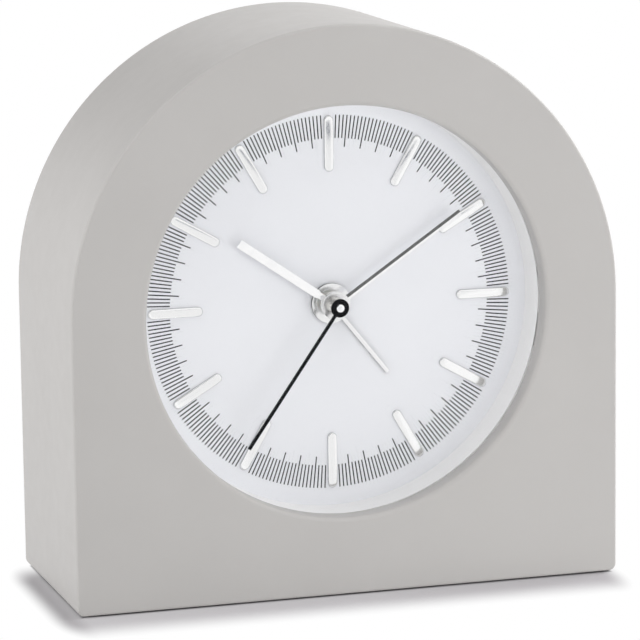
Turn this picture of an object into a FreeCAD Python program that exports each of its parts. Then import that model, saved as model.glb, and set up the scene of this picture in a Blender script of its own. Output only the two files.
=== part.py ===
import FreeCAD, Part
import math
import os
import Sketcher

# Shelf clock: an arched block case with a round dial well, an alarm movement and an arched rear cover.
# Millimetres, +Z up, the front faces -Y, origin under the middle of the base on the standing surface.
# Every piece is drawn as seen from the front, in the dial frame: X right, Y up, and Z out of the
# dial's face towards the viewer, from the centre of the hands. Levels are heights over the dial.

SIZES = {
    # case block
    "case_width": 160.0,
    "case_height": 162.0,
    "case_depth": 66.0,
    "case_corner_radius": 3.0,
    "case_edge_radius": 0.8,
    "dial_axis_height": 80.7,
    "opening_radius": 58.5,
    "opening_edge_radius": 1.4,
    "lip_thickness": 5.8,
    "cavity_radius": 66.0,
    "rear_rim_width": 7.0,
    "rear_recess": 9.5,
    "rear_corner_radius": 4.0,
    # base pads
    "pad_radius": 5.0,
    "pad_thickness": 1.0,
    "pad_proud": 0.5,
    "pad_side_inset": 15.0,
    "pad_end_inset": 12.0,
    # lens, rings and dial
    "dial_depth": 18.5,
    "ring_gap": 0.2,
    "ring_inner_radius": 58.9,
    "ring_lip_thickness": 0.6,
    "lens_radius": 61.0,
    "lens_thickness": 1.4,
    "lens_gap": 0.15,
    "dial_thickness": 0.6,
    "dial_hole_radius": 4.4,
    # hour markers
    "marker_count": 12,
    "marker_inner_radius": 37.7,
    "marker_outer_radius": 53.7,
    "marker_width": 2.7,
    "marker_wall": 0.6,
    "marker_bevel": 0.4,
    "marker_bevel_angle": 40.0,
    # carrier plate and its screws
    "carrier_thickness": 4.0,
    "carrier_screw_circle": 63.5,
    "carrier_screw_radius": 1.25,
    "carrier_screw_bite": 4.0,
    "screw_head_radius": 2.3,
    "screw_head_height": 1.6,
    "screw_clearance": 0.05,
    "screw_tip_gap": 0.5,
    "screw_count": 4,
    "recess_radius": 7.6,
    "recess_depth": 2.4,
    # centre fixing
    "bushing_outer_radius": 4.0,
    "bushing_inner_radius": 3.35,
    "bushing_flange_radius": 6.0,
    "bushing_flange_thickness": 0.4,
    "bushing_clearance": 0.1,
    "bushing_drop": 0.2,
    "nut_radius": 6.3,
    "nut_thickness": 1.9,
    "gasket_radius": 9.0,
    "gasket_thickness": 0.6,
    # hands
    "alarm_hand_level": 0.7,
    "alarm_hand_thickness": 0.4,
    "alarm_disc_radius": 5.75,
    "alarm_hand_width": 1.2,
    "alarm_hand_length": 26.9,
    "hour_hand_level": 2.9,
    "hour_hub_radius": 3.75,
    "hour_hand_width": 2.5,
    "hour_hand_length": 33.5,
    "minute_hand_level": 5.4,
    "minute_hub_radius": 4.1,
    "minute_hand_width": 1.7,
    "minute_hand_length": 44.8,
    "blade_edge": 0.3,
    "blade_ridge": 0.65,
    "collar_radius": 2.35,
    "collar_top_level": 8.5,
    "collar_wall": 0.7,
    "second_hand_level": 9.2,
    "second_hand_thickness": 0.4,
    "second_ring_radius": 2.65,
    "second_hand_width": 0.9,
    "second_hand_length": 47.4,
    "second_tube_radius": 1.2,
    "second_tube_start": 6.7,
    "second_tube_top": 10.0,
    # rest positions, clockwise from twelve
    "hour_rest_angle": 304.8,
    "minute_rest_angle": 56.2,
    "second_rest_angle": 215.2,
    "alarm_rest_angle": 141.4,
    # pipes and arbors
    "running_clearance": 0.05,
    "second_arbor_radius": 0.5,
    "pipe_wall": 0.9,
    "arbor_radius": 0.4,
    "post_radius": 0.6,
    # movement housing
    "housing_size": 56.0,
    "housing_corner_radius": 3.0,
    "housing_depth": 14.6,
    "housing_wall": 1.4,
    "rear_plate_thickness": 1.6,
    "bearing_depth": 0.8,
    "plate_gap": 0.1,
    "middle_plate_depth": 6.7,
    "middle_plate_thickness": 0.8,
    "pillar_radius": 2.0,
    "pillar_inset": 5.0,
    # wheel layers, counted back from the housing's face
    "front_layer_depth": 2.2,
    "back_layer_depth": 7.8,
    "layer_pitch": 1.6,
    "wheel_thickness": 0.8,
    "pinion_overlap": 0.15,
    # gear train
    "tooth_height_share": 0.8,
    "tooth_root_share": 1.1,
    "tooth_foot_share": 0.46,
    "tooth_tip_share": 0.16,
    "third_distance": 9.0,
    "third_angle": -30.0,
    "fifth_distance": 8.75,
    "fifth_angle": 215.0,
    "rotor_distance": 7.92,
    "work_distance": 8.4,
    "second_wheel_teeth": 60,
    "second_pinion_teeth": 8,
    "third_wheel_teeth": 60,
    "third_pinion_teeth": 8,
    "centre_wheel_teeth": 64,
    "minute_pinion_teeth": 12,
    "work_wheel_teeth": 36,
    "work_pinion_teeth": 10,
    "hour_wheel_teeth": 40,
    "fifth_wheel_teeth": 60,
    "fifth_pinion_teeth": 10,
    "rotor_pinion_teeth": 12,
    "set_pinion_teeth": 12,
    "alarm_wheel_teeth": 36,
    "alarm_pinion_teeth": 24,
    # motor and electronics
    "magnet_radius": 3.0,
    "magnet_thickness": 3.0,
    "stator_depth": 10.0,
    "stator_thickness": 0.8,
    "stator_hole_gap": 0.4,
    "stator_margin": 1.9,
    "core_width": 4.0,
    "core_length": 34.0,
    "core_drop": 11.4,
    "bobbin_length": 20.0,
    "bobbin_start": 7.6,
    "bobbin_wall": 0.7,
    "bobbin_flange": 1.0,
    "winding_height": 0.9,
    "core_gap": 0.1,
    "board_width": 40.0,
    "board_height": 12.4,
    "board_thickness": 0.8,
    "board_lift": 0.9,
    "board_edge_gap": 0.4,
    "board_post_radius": 1.5,
    "board_post_inset": 3.0,
    "chip_radius": 2.6,
    "chip_height": 1.0,
    "crystal_radius": 0.9,
    "crystal_length": 6.0,
    "spring_width": 2.0,
    "spring_thickness": 0.2,
    "spring_reach": 16.0,
    "spring_foot": 5.0,
    # setting shafts and knobs
    "set_shaft_radius": 1.2,
    "pivot_radius": 0.5,
    "pivot_length": 0.6,
    "knob_radius": 5.5,
    "knob_height": 6.5,
    "knob_gap": 0.4,
    "knob_grip_depth": 4.6,
    "knob_groove_radius": 0.6,
    "knob_groove_count": 18,
    "knob_top_edge": 0.5,
    "knob_cap": 1.5,
    "press_gap": 0.01,
    # rear cover
    "cover_thickness": 2.5,
    "cover_gap": 0.2,
    "cover_screw_radius": 1.4,
    "cover_screw_bite": 7.0,
    "cover_screw_corner": 9.0,
    "cover_screw_arch_angle": 50.0,
    "cover_screw_arch_inset": 2.9,
    "cover_head_radius": 2.8,
    "cover_head_height": 1.5,
    "bay_length": 54.0,
    "bay_width": 15.2,
    "bay_drop": 38.0,
    "bay_depth": 19.0,
    "bay_wall": 1.2,
    "door_gap": 0.3,
    "tab_width": 6.0,
    "tab_spacing": 30.0,
    "tab_hook": 1.0,
    "tab_thickness": 1.0,
    "grip_width": 14.0,
    "grip_depth": 1.2,
    "grip_height": 2.4,
    "sound_hole_radius": 1.0,
    "sound_ring_radius": 5.0,
    "sound_hole_count": 8,
    # battery
    "battery_radius": 7.1,
    "battery_length": 49.5,
    "battery_nub_radius": 2.7,
    "battery_nub_length": 1.0,
    "contact_thickness": 0.4,
    "contact_size": 9.0,
    "contact_spring_width": 5.0,
    "contact_tail_width": 3.0,
    "contact_tail_length": 1.4,
    "battery_floor_gap": 0.2,
    # buzzer and switch
    "buzzer_radius": 12.5,
    "buzzer_height": 5.0,
    "buzzer_rise": 36.0,
    "buzzer_wall": 0.8,
    "switch_side": 34.0,
    "switch_length": 16.0,
    "switch_width": 10.0,
    "switch_height": 5.0,
    "switch_wall": 1.2,
    "slider_travel": 4.0,
    "slider_length": 4.0,
    "slider_width": 3.4,
    "slider_proud": 2.0,
    "slider_foot_length": 8.0,
    "slider_foot_thickness": 1.0,
    "slider_clearance": 0.15,
    "slider_rib": 0.4,
    # leads
    "lead_radius": 0.5,
    "lead_exit": 3.4,
    "lead_spacing": 4.0,
    "lead_height": 8.0,
    # one overrun for every cut
    "overrun": 1.0,
}

SAME_PLACE = 0.001

doc = FreeCAD.newDocument("ShelfClock")
sheet = doc.addObject("Spreadsheet::Sheet", "Dimensions")
for row, (size_name, size_value) in enumerate(SIZES.items(), start=1):
    sheet.set(f"A{row}", size_name)
    sheet.set(f"B{row}", str(size_value))
    sheet.setAlias(f"B{row}", size_name)
doc.recompute()


class Length:
    """A size that knows its expression on the sheet as well as its present value."""

    def __init__(self, text, number):
        self.text = text
        self.number = float(number)

    def __add__(self, other):
        return Length(f"({self.text} + {text_of(other)})", self.number + number_of(other))

    def __sub__(self, other):
        return Length(f"({self.text} - {text_of(other)})", self.number - number_of(other))

    def __mul__(self, other):
        return Length(f"({self.text} * {text_of(other)})", self.number * number_of(other))

    def __truediv__(self, other):
        return Length(f"({self.text} / {text_of(other)})", self.number / number_of(other))

    def __neg__(self):
        return Length(f"(-{self.text})", -self.number)

    def along_x(self, angle):
        """The X of a point this far out, at an angle in degrees."""
        return Length(f"({self.text} * cos({text_of(angle)} * 1deg))",
                      self.number * math.cos(math.radians(number_of(angle))))

    def along_y(self, angle):
        """The Y of a point this far out, at an angle in degrees."""
        return Length(f"({self.text} * sin({text_of(angle)} * 1deg))",
                      self.number * math.sin(math.radians(number_of(angle))))


class Sheet:
    """Reads each alias of the sheet as a Length."""

    def __getattr__(self, alias):
        return Length(f"Dimensions.{alias}", sheet.get(alias))


def text_of(value):
    return value.text if isinstance(value, Length) else str(value)


def number_of(value):
    return value.number if isinstance(value, Length) else float(value)


s = Sheet()
ZERO = Length("0", 0)

# Levels over the dial's face, and heights from the centre of the hands.
front_level = s.dial_depth
back_level = s.dial_depth - s.case_depth
lip_level = front_level - s.lip_thickness
case_base = -s.dial_axis_height
arch_centre = s.case_height - s.case_width / 2 - s.dial_axis_height
cover_rear_level = back_level + s.rear_recess
cover_seat_level = cover_rear_level + s.cover_thickness
ring_outer_radius = s.cavity_radius - s.ring_gap
pocket_radius = s.lens_radius + s.lens_gap
lens_level = lip_level - s.ring_lip_thickness - s.lens_thickness
carrier_front_level = -s.dial_thickness
carrier_rear_level = carrier_front_level - s.carrier_thickness
housing_level = carrier_rear_level - s.gasket_thickness
housing_inner_level = housing_level - s.housing_wall
housing_rear_level = housing_level - s.housing_depth
rear_plate_level = housing_rear_level - s.rear_plate_thickness
middle_plate_level = housing_level - s.middle_plate_depth
middle_plate_rear_level = middle_plate_level - s.middle_plate_thickness
axis_height = s.pad_proud + s.dial_axis_height
dial_y = s.dial_depth - s.case_depth / 2
housing_half = s.housing_size / 2


def layer_level(layer):
    """Rear face of the wheels of a layer: 0 to 2 before the middle plate, 3 to 6 behind it."""
    if layer < 3:
        return housing_level - s.front_layer_depth - s.wheel_thickness - s.layer_pitch * layer
    return housing_level - s.back_layer_depth - s.wheel_thickness - s.layer_pitch * (layer - 3)


def placed(body, x=ZERO, y=ZERO, turn=0.0):
    """Stands a piece in the clock: its own origin at x, y of the dial frame, turned about the hands' axis."""
    upright = FreeCAD.Rotation(FreeCAD.Vector(1, 0, 0), 90)
    spin = FreeCAD.Rotation(FreeCAD.Vector(0, 0, 1), turn)
    body.Placement = FreeCAD.Placement(FreeCAD.Vector(), upright * spin)
    body.setExpression(".Placement.Base.x", x.text)
    body.setExpression(".Placement.Base.y", dial_y.text)
    body.setExpression(".Placement.Base.z", (axis_height + y).text)


def add_body(label, several=False):
    body = doc.addObject("PartDesign::Body", label)
    body.Label = label
    body.AllowCompound = several
    return body


def add_sketch(body, name, level=ZERO, role="XY_Plane"):
    """A sketch on one of the body's own planes, moved along that plane's normal."""
    sketch = body.newObject("Sketcher::SketchObject", name)
    plane = [feature for feature in body.Origin.OriginFeatures if feature.Role == role][0]
    sketch.AttachmentSupport = (plane, [""])
    sketch.MapMode = "FlatFace"
    sketch.setExpression("AttachmentOffset.Base.z", level.text)
    return sketch


def pin(sketch, geometry, vertex, x, y):
    """Ties a point to its place from the sketch's origin."""
    for kind, place in (("DistanceX", x), ("DistanceY", y)):
        index = sketch.addConstraint(Sketcher.Constraint(kind, -1, 1, geometry, vertex, place.number))
        name = f"{kind}_{geometry}_{vertex}"
        sketch.renameConstraint(index, name)
        sketch.setExpression(f"Constraints.{name}", place.text)


def fix_radius(sketch, geometry, radius):
    index = sketch.addConstraint(Sketcher.Constraint("Radius", geometry, radius.number))
    sketch.renameConstraint(index, f"Radius_{geometry}")
    sketch.setExpression(f"Constraints.Radius_{geometry}", radius.text)


def draw_circle(sketch, radius, x=ZERO, y=ZERO):
    centre = FreeCAD.Vector(x.number, y.number, 0)
    circle = sketch.addGeometry(Part.Circle(centre, FreeCAD.Vector(0, 0, 1), radius.number))
    pin(sketch, circle, 3, x, y)
    fix_radius(sketch, circle, radius)


def draw_polygon(sketch, points):
    """A closed outline of straight lines through points of two Lengths each."""
    first = sketch.GeometryCount
    for start, end in zip(points, points[1:] + points[:1]):
        sketch.addGeometry(Part.LineSegment(FreeCAD.Vector(start[0].number, start[1].number, 0),
                                            FreeCAD.Vector(end[0].number, end[1].number, 0)))
    for index, point in enumerate(points):
        following = first + (index + 1) % len(points)
        sketch.addConstraint(Sketcher.Constraint("Coincident", first + index, 2, following, 1))
        pin(sketch, first + index, 1, *point)


def draw_belt(sketch, circles):
    """A tangent outline round circles of x, y and radius, listed anticlockwise."""
    first = sketch.GeometryCount
    count = len(circles)
    leaving = []
    for index, (x, y, radius) in enumerate(circles):
        next_x, next_y, next_radius = circles[(index + 1) % count]
        step_x = next_x.number - x.number
        step_y = next_y.number - y.number
        lean = math.acos((radius.number - next_radius.number) / math.hypot(step_x, step_y))
        leaving.append(math.atan2(step_y, step_x) - lean)
    for index, (x, y, radius) in enumerate(circles):
        centre = FreeCAD.Vector(x.number, y.number, 0)
        start_angle = leaving[index - 1]
        end_angle = leaving[index]
        while end_angle < start_angle:
            end_angle += 2 * math.pi
        ring = Part.Circle(centre, FreeCAD.Vector(0, 0, 1), radius.number)
        sketch.addGeometry(Part.ArcOfCircle(ring, start_angle, end_angle))
        next_x, next_y, next_radius = circles[(index + 1) % count]
        outward = FreeCAD.Vector(math.cos(end_angle), math.sin(end_angle), 0)
        next_centre = FreeCAD.Vector(next_x.number, next_y.number, 0)
        sketch.addGeometry(Part.LineSegment(centre + outward * radius.number,
                                            next_centre + outward * next_radius.number))
    for index, (x, y, radius) in enumerate(circles):
        arc = first + 2 * index
        next_arc = first + 2 * ((index + 1) % count)
        sketch.addConstraint(Sketcher.Constraint("Tangent", arc, 2, arc + 1, 1))
        sketch.addConstraint(Sketcher.Constraint("Tangent", arc + 1, 2, next_arc, 1))
        pin(sketch, arc, 3, x, y)
        fix_radius(sketch, arc, radius)


def arch_circles(half_width, centre_y, base_y, corner):
    """The three circles of a round-topped outline with rounded bottom corners."""
    return [(ZERO, centre_y, half_width),
            (corner - half_width, base_y + corner, corner),
            (half_width - corner, base_y + corner, corner)]


def box_circles(width, height, corner, x=ZERO, y=ZERO):
    """The four corner circles of a rounded rectangle about x, y."""
    reach_x = width / 2 - corner
    reach_y = height / 2 - corner
    return [(x + reach_x, y + reach_y, corner), (x - reach_x, y + reach_y, corner),
            (x - reach_x, y - reach_y, corner), (x + reach_x, y - reach_y, corner)]


def rectangle(left, bottom, right, top):
    return [(left, bottom), (right, bottom), (right, top), (left, top)]


def add_pad(body, name, sketch, length):
    """Material from the sketch out along its normal."""
    pad = body.newObject("PartDesign::Pad", name)
    pad.Profile = sketch
    pad.setExpression("Length", length.text)
    sketch.Visibility = False
    return pad


def add_pocket(body, name, sketch, length, forward=False):
    """Cuts from the sketch back into the piece, or forward of it."""
    doc.recompute()
    before = body.Shape.Volume
    pocket = body.newObject("PartDesign::Pocket", name)
    pocket.Profile = sketch
    pocket.Reversed = forward
    pocket.setExpression("Length", length.text)
    doc.recompute()
    if body.Shape.Volume >= before:
        raise RuntimeError(f"{body.Label}: {name} cuts nothing")
    return pocket


def add_ring_pattern(body, name, features, count):
    """Repeats features round the body's own Z axis."""
    pattern = body.newObject("PartDesign::PolarPattern", name)
    pattern.Originals = features
    axis = [feature for feature in body.Origin.OriginFeatures if feature.Role == "Z_Axis"][0]
    pattern.Axis = (axis, [""])
    pattern.Angle = 360
    pattern.setExpression("Occurrences", text_of(count))
    body.Tip = pattern
    return pattern


def add_turning(body, name, profile):
    """A turned solid from points of radius and level."""
    sketch = add_sketch(body, name + "_profile", role="XZ_Plane")
    draw_polygon(sketch, profile)
    turning = body.newObject("PartDesign::Revolution", name)
    turning.Profile = sketch
    turning.ReferenceAxis = (sketch, ["V_Axis"])
    turning.Angle = 360
    return turning


def ring_profile(inner, outer, low, high):
    return [(inner, low), (outer, low), (outer, high), (inner, high)]


def add_disc(body, name, radius, low, height, x=ZERO, y=ZERO):
    sketch = add_sketch(body, name + "_circle", low)
    draw_circle(sketch, radius, x, y)
    return add_pad(body, name, sketch, height)


def add_hole(body, name, radius, top, depth, x=ZERO, y=ZERO):
    """A round hole cut back from a level."""
    sketch = add_sketch(body, name + "_circle", top)
    draw_circle(sketch, radius, x, y)
    return add_pocket(body, name, sketch, depth)


def add_fillet(body, name, chosen, radius):
    """Rounds the edges of the present tip that the test chooses."""
    doc.recompute()
    base = body.Tip
    edges = [f"Edge{index}" for index, edge in enumerate(base.Shape.Edges, start=1) if chosen(edge)]
    if not edges:
        raise RuntimeError(f"{body.Label}: {name} finds no edge")
    fillet = body.newObject("PartDesign::Fillet", name)
    fillet.Base = (base, edges)
    fillet.setExpression("Radius", radius.text)
    return fillet


def lies_at(level):
    """A test for edges that lie wholly in one level."""
    def test(edge):
        box = edge.BoundBox
        return max(abs(box.ZMin - level.number), abs(box.ZMax - level.number)) < SAME_PLACE
    return test


def add_gear(body, name, teeth, pitch_radius, low, thickness):
    """A toothed wheel: a root disc, one slim tooth and its copies round the axis."""
    module = pitch_radius * 2 / teeth
    root = pitch_radius - module * s.tooth_root_share
    tip = pitch_radius + module * s.tooth_height_share
    foot_half = module * s.tooth_foot_share * math.pi / 2
    tip_half = module * s.tooth_tip_share * math.pi / 2
    sunk = root - module / 2
    add_disc(body, name + "_web", root, low, thickness)
    sketch = add_sketch(body, name + "_tooth_outline", low)
    draw_polygon(sketch, [(sunk, -foot_half), (root, -foot_half), (tip, -tip_half),
                          (tip, tip_half), (root, foot_half), (sunk, foot_half)])
    tooth = add_pad(body, name + "_tooth", sketch, thickness)
    doc.recompute()
    add_ring_pattern(body, name + "_teeth", [tooth], teeth)


def share_pitch(distance, teeth, other_teeth):
    """Pitch radius of a wheel that meshes with another at a centre distance."""
    return distance * teeth / (teeth + other_teeth)


def mesh_turn(turn, teeth, other_teeth, direction):
    """The turn that puts a wheel in mesh with its neighbour, which stands in a direction, in degrees."""
    phase = (turn - direction) * number_of(teeth) / 360
    return direction + 180 + (0.5 - phase) * 360 / number_of(other_teeth)


# Where the arbors stand, and how each wheel is turned at rest so that its teeth mesh.
third_x = s.third_distance.along_x(s.third_angle)
third_y = s.third_distance.along_y(s.third_angle)
fifth_x = s.fifth_distance.along_x(s.fifth_angle)
fifth_y = s.fifth_distance.along_y(s.fifth_angle)
rotor_x = (s.fifth_distance + s.rotor_distance).along_x(s.fifth_angle)
rotor_y = (s.fifth_distance + s.rotor_distance).along_y(s.fifth_angle)
work_y = s.work_distance
set_x = s.work_distance
alarm_distance = s.work_distance * math.sqrt(2)

second_turn = 0.0
third_turn = mesh_turn(second_turn, s.second_pinion_teeth, s.third_wheel_teeth, s.third_angle.number)
centre_turn = mesh_turn(third_turn, s.third_pinion_teeth, s.centre_wheel_teeth, s.third_angle.number + 180)
fifth_turn = mesh_turn(second_turn, s.second_wheel_teeth, s.fifth_pinion_teeth, s.fifth_angle.number)
rotor_turn = mesh_turn(fifth_turn, s.fifth_wheel_teeth, s.rotor_pinion_teeth, s.fifth_angle.number)
work_turn = mesh_turn(centre_turn, s.minute_pinion_teeth, s.work_wheel_teeth, 90)
hour_turn = mesh_turn(work_turn, s.work_pinion_teeth, s.hour_wheel_teeth, 270)
time_set_turn = mesh_turn(work_turn, s.work_wheel_teeth, s.set_pinion_teeth, 0)
alarm_turn = 0.0
alarm_set_turn = mesh_turn(alarm_turn, s.alarm_wheel_teeth, s.alarm_pinion_teeth, 135)

# Radii of the nested pipes, from the second arbor outwards.
minute_pipe_inner = s.second_arbor_radius + s.running_clearance
minute_pipe_outer = minute_pipe_inner + s.pipe_wall
hour_pipe_inner = minute_pipe_outer + s.running_clearance
hour_pipe_outer = hour_pipe_inner + s.pipe_wall
alarm_pipe_inner = hour_pipe_outer + s.running_clearance
alarm_pipe_outer = s.bushing_inner_radius - s.running_clearance


# Case

def case_block():
    """A milled block: round front well with a lip, wider cavity behind, arched rebate at the rear."""
    body = add_body("case_block")
    outline = add_sketch(body, "outline", back_level)
    draw_belt(outline, arch_circles(s.case_width / 2, arch_centre, case_base, s.case_corner_radius))
    add_pad(body, "block", outline, s.case_depth)
    add_fillet(body, "front_edge", lies_at(front_level), s.case_edge_radius)
    add_fillet(body, "rear_edge", lies_at(back_level), s.case_edge_radius)
    add_hole(body, "well", s.opening_radius, front_level, s.lip_thickness + s.overrun)
    add_fillet(body, "well_edge", is_well_edge, s.opening_edge_radius)
    add_hole(body, "cavity", s.cavity_radius, lip_level, s.case_depth)
    rebate = add_sketch(body, "rebate_outline", cover_seat_level)
    draw_belt(rebate, arch_circles(s.case_width / 2 - s.rear_rim_width, arch_centre,
                                   case_base + s.rear_rim_width, s.rear_corner_radius))
    add_pocket(body, "rebate", rebate, s.rear_recess + s.cover_thickness + s.overrun)
    pads = add_sketch(body, "pad_seats", s.dial_axis_height, role="XZ_Plane")
    sketch_pads(pads, s.pad_radius + s.plate_gap)
    add_pocket(body, "pad_recesses", pads, s.pad_thickness - s.pad_proud)
    pilot = s.carrier_screw_radius + s.screw_clearance
    pilots = add_sketch(body, "carrier_pilots", lip_level - s.overrun)
    draw_screw_circle(pilots, pilot)
    reach = s.carrier_screw_bite + s.screw_tip_gap + s.overrun
    add_pocket(body, "carrier_pilot_holes", pilots, reach, forward=True)
    pilots = add_sketch(body, "cover_pilots", cover_seat_level - s.overrun)
    for x, y in cover_screw_places():
        draw_circle(pilots, s.cover_screw_radius + s.screw_clearance, x, y)
    reach = s.cover_screw_bite + s.screw_tip_gap + s.overrun
    add_pocket(body, "cover_pilot_holes", pilots, reach, forward=True)
    placed(body)


def is_well_edge(edge):
    """The round edge where the well meets the front face."""
    box = edge.BoundBox
    near_front = abs(box.ZMin - front_level.number) < SAME_PLACE
    return near_front and abs(box.XLength / 2 - s.opening_radius.number) < s.overrun.number


def sketch_pads(sketch, radius):
    """Four circles under the base; this plane's own Y is the clock's depth."""
    middle = (front_level + back_level) / 2
    for side in (-1, 1):
        for end in (-1, 1):
            x = (s.case_width / 2 - s.pad_side_inset) * side
            draw_circle(sketch, radius, x, middle + (s.case_depth / 2 - s.pad_end_inset) * end)


def draw_screw_circle(sketch, radius):
    """The ring's screw circles, evenly spaced and clear of its top, bottom and sides."""
    step = 360 / s.screw_count.number
    for index in range(round(s.screw_count.number)):
        angle = step / 2 + step * index
        x = s.carrier_screw_circle.along_x(angle)
        y = s.carrier_screw_circle.along_y(angle)
        draw_circle(sketch, radius, x, y)


def cover_screw_places():
    """Two screws in the bottom corners and two on the arch."""
    half = s.case_width / 2 - s.rear_rim_width
    low_x = half - s.cover_screw_corner
    low_y = case_base + s.rear_rim_width + s.cover_screw_corner
    reach = half - s.cover_screw_arch_inset
    high_x = reach.along_x(s.cover_screw_arch_angle)
    high_y = arch_centre + reach.along_y(s.cover_screw_arch_angle)
    return [(-low_x, low_y), (low_x, low_y), (high_x, high_y), (-high_x, high_y)]


def base_pads():
    """Four rubber pads, half sunk in the base."""
    body = add_body("base_pads", several=True)
    sketch = add_sketch(body, "pad_circles", s.dial_axis_height + s.pad_proud, role="XZ_Plane")
    sketch_pads(sketch, s.pad_radius)
    pads = add_pad(body, "pads", sketch, s.pad_thickness)
    pads.Reversed = True
    placed(body)


# Lens, rings, dial and markers

def front_ring():
    """White moulded ring behind the case lip; its own lip holds the lens."""
    body = add_body("front_ring")
    seat = lip_level - s.ring_lip_thickness
    add_turning(body, "ring", [(s.ring_inner_radius, seat), (s.ring_inner_radius, lip_level),
                               (ring_outer_radius, lip_level), (ring_outer_radius, carrier_front_level),
                               (pocket_radius, carrier_front_level), (pocket_radius, seat)])
    holes = add_sketch(body, "screw_circles", lip_level + s.overrun)
    draw_screw_circle(holes, s.carrier_screw_radius + s.screw_clearance)
    add_pocket(body, "screw_holes", holes, lip_level - carrier_front_level + s.overrun * 2)
    placed(body)


def lens():
    """Clear flat lens, dropped into the front ring from behind."""
    body = add_body("lens")
    add_disc(body, "disc", s.lens_radius, lens_level, s.lens_thickness)
    placed(body)


def spacer_ring():
    """White ring wall that holds the lens off the dial."""
    body = add_body("spacer_ring")
    add_turning(body, "ring", ring_profile(s.ring_inner_radius, s.lens_radius, ZERO, lens_level))
    placed(body)


def dial():
    body = add_body("dial")
    add_turning(body, "disc", ring_profile(s.dial_hole_radius, s.lens_radius, -s.dial_thickness, ZERO))
    placed(body)


def hour_markers():
    """Twelve stadium-shaped batons with bevelled upper edges, riveted to the dial."""
    body = add_body("hour_markers", several=True)
    end = s.marker_width / 2
    circles = [(ZERO, s.marker_outer_radius - end, end), (ZERO, s.marker_inner_radius + end, end)]
    foot = add_sketch(body, "foot_outline")
    draw_belt(foot, circles)
    wall = add_pad(body, "wall", foot, s.marker_wall)
    crown = add_sketch(body, "crown_outline", s.marker_wall)
    draw_belt(crown, circles)
    bevel = add_pad(body, "bevel", crown, s.marker_bevel)
    bevel.setExpression("TaperAngle", (-s.marker_bevel_angle).text)
    doc.recompute()
    add_ring_pattern(body, "hours", [wall, bevel], s.marker_count)
    placed(body)


def carrier_plate():
    """Moulded plate behind the dial; the movement hangs on it and its nut lies in the front recess."""
    body = add_body("carrier_plate")
    add_disc(body, "plate", ring_outer_radius, carrier_rear_level, s.carrier_thickness)
    add_hole(body, "nut_recess", s.recess_radius, carrier_front_level, s.recess_depth)
    add_hole(body, "bushing_hole", s.bushing_outer_radius + s.bushing_clearance, carrier_front_level,
             s.carrier_thickness + s.overrun)
    holes = add_sketch(body, "screw_circles", carrier_front_level)
    draw_screw_circle(holes, s.carrier_screw_radius + s.screw_clearance)
    add_pocket(body, "screw_holes", holes, s.carrier_thickness + s.overrun)
    placed(body)


def carrier_screws():
    """Four pan-head screws through carrier and front ring into the case lip."""
    body = add_body("carrier_screws", several=True)
    shanks = add_sketch(body, "shank_circles", carrier_rear_level)
    draw_screw_circle(shanks, s.carrier_screw_radius)
    add_pad(body, "shanks", shanks, lip_level + s.carrier_screw_bite - carrier_rear_level)
    heads = add_sketch(body, "head_circles", carrier_rear_level - s.screw_head_height)
    draw_screw_circle(heads, s.screw_head_radius)
    add_pad(body, "heads", heads, s.screw_head_height)
    placed(body)


# Centre fixing

def movement_gasket():
    body = add_body("movement_gasket")
    add_turning(body, "ring", ring_profile(s.bushing_outer_radius + s.bushing_clearance, s.gasket_radius,
                                           housing_level, carrier_rear_level))
    placed(body)


def threaded_bushing():
    """Brass bushing through the housing; the alarm pipe turns in it."""
    body = add_body("threaded_bushing")
    top = carrier_front_level - s.bushing_drop
    low = housing_inner_level - s.bushing_flange_thickness
    add_turning(body, "bushing", [(s.bushing_inner_radius, low), (s.bushing_flange_radius, low),
                                  (s.bushing_flange_radius, housing_inner_level),
                                  (s.bushing_outer_radius, housing_inner_level),
                                  (s.bushing_outer_radius, top), (s.bushing_inner_radius, top)])
    placed(body)


def bushing_nut():
    """Hexagon nut in the carrier's recess."""
    body = add_body("bushing_nut")
    floor = carrier_front_level - s.recess_depth
    sketch = add_sketch(body, "hexagon", floor)
    corners = [(s.nut_radius.along_x(angle), s.nut_radius.along_y(angle)) for angle in range(30, 390, 60)]
    draw_polygon(sketch, corners)
    add_pad(body, "nut", sketch, s.nut_thickness)
    add_hole(body, "thread", s.bushing_outer_radius + s.press_gap, floor + s.nut_thickness,
             s.nut_thickness + s.overrun)
    placed(body)


# Hands

def add_blade(body, width, length, low):
    """A straight blade up to a square tip, with a ridge along its middle."""
    sketch = add_sketch(body, "blade_section", role="XZ_Plane")
    half = width / 2
    draw_polygon(sketch, [(-half, low), (half, low), (half, low + s.blade_edge),
                          (ZERO, low + s.blade_ridge), (-half, low + s.blade_edge)])
    blade = add_pad(body, "blade", sketch, length)
    blade.Reversed = True


def add_ridged_hand(label, width, length, low, hub_radius, pipe_radius, rest_angle):
    """A polished hand with its hub disc, pushed onto its pipe."""
    body = add_body(label)
    add_disc(body, "hub", hub_radius, low, s.blade_ridge)
    add_blade(body, width, length, low)
    add_hole(body, "pipe_hole", pipe_radius + s.press_gap, low + s.blade_ridge + s.overrun,
             s.blade_ridge + s.overrun * 2)
    placed(body, turn=-rest_angle.number)


def hour_hand():
    add_ridged_hand("hour_hand", s.hour_hand_width, s.hour_hand_length, s.hour_hand_level,
                    s.hour_hub_radius, hour_pipe_outer, s.hour_rest_angle)


def minute_hand():
    add_ridged_hand("minute_hand", s.minute_hand_width, s.minute_hand_length, s.minute_hand_level,
                    s.minute_hub_radius, minute_pipe_outer, s.minute_rest_angle)


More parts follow.
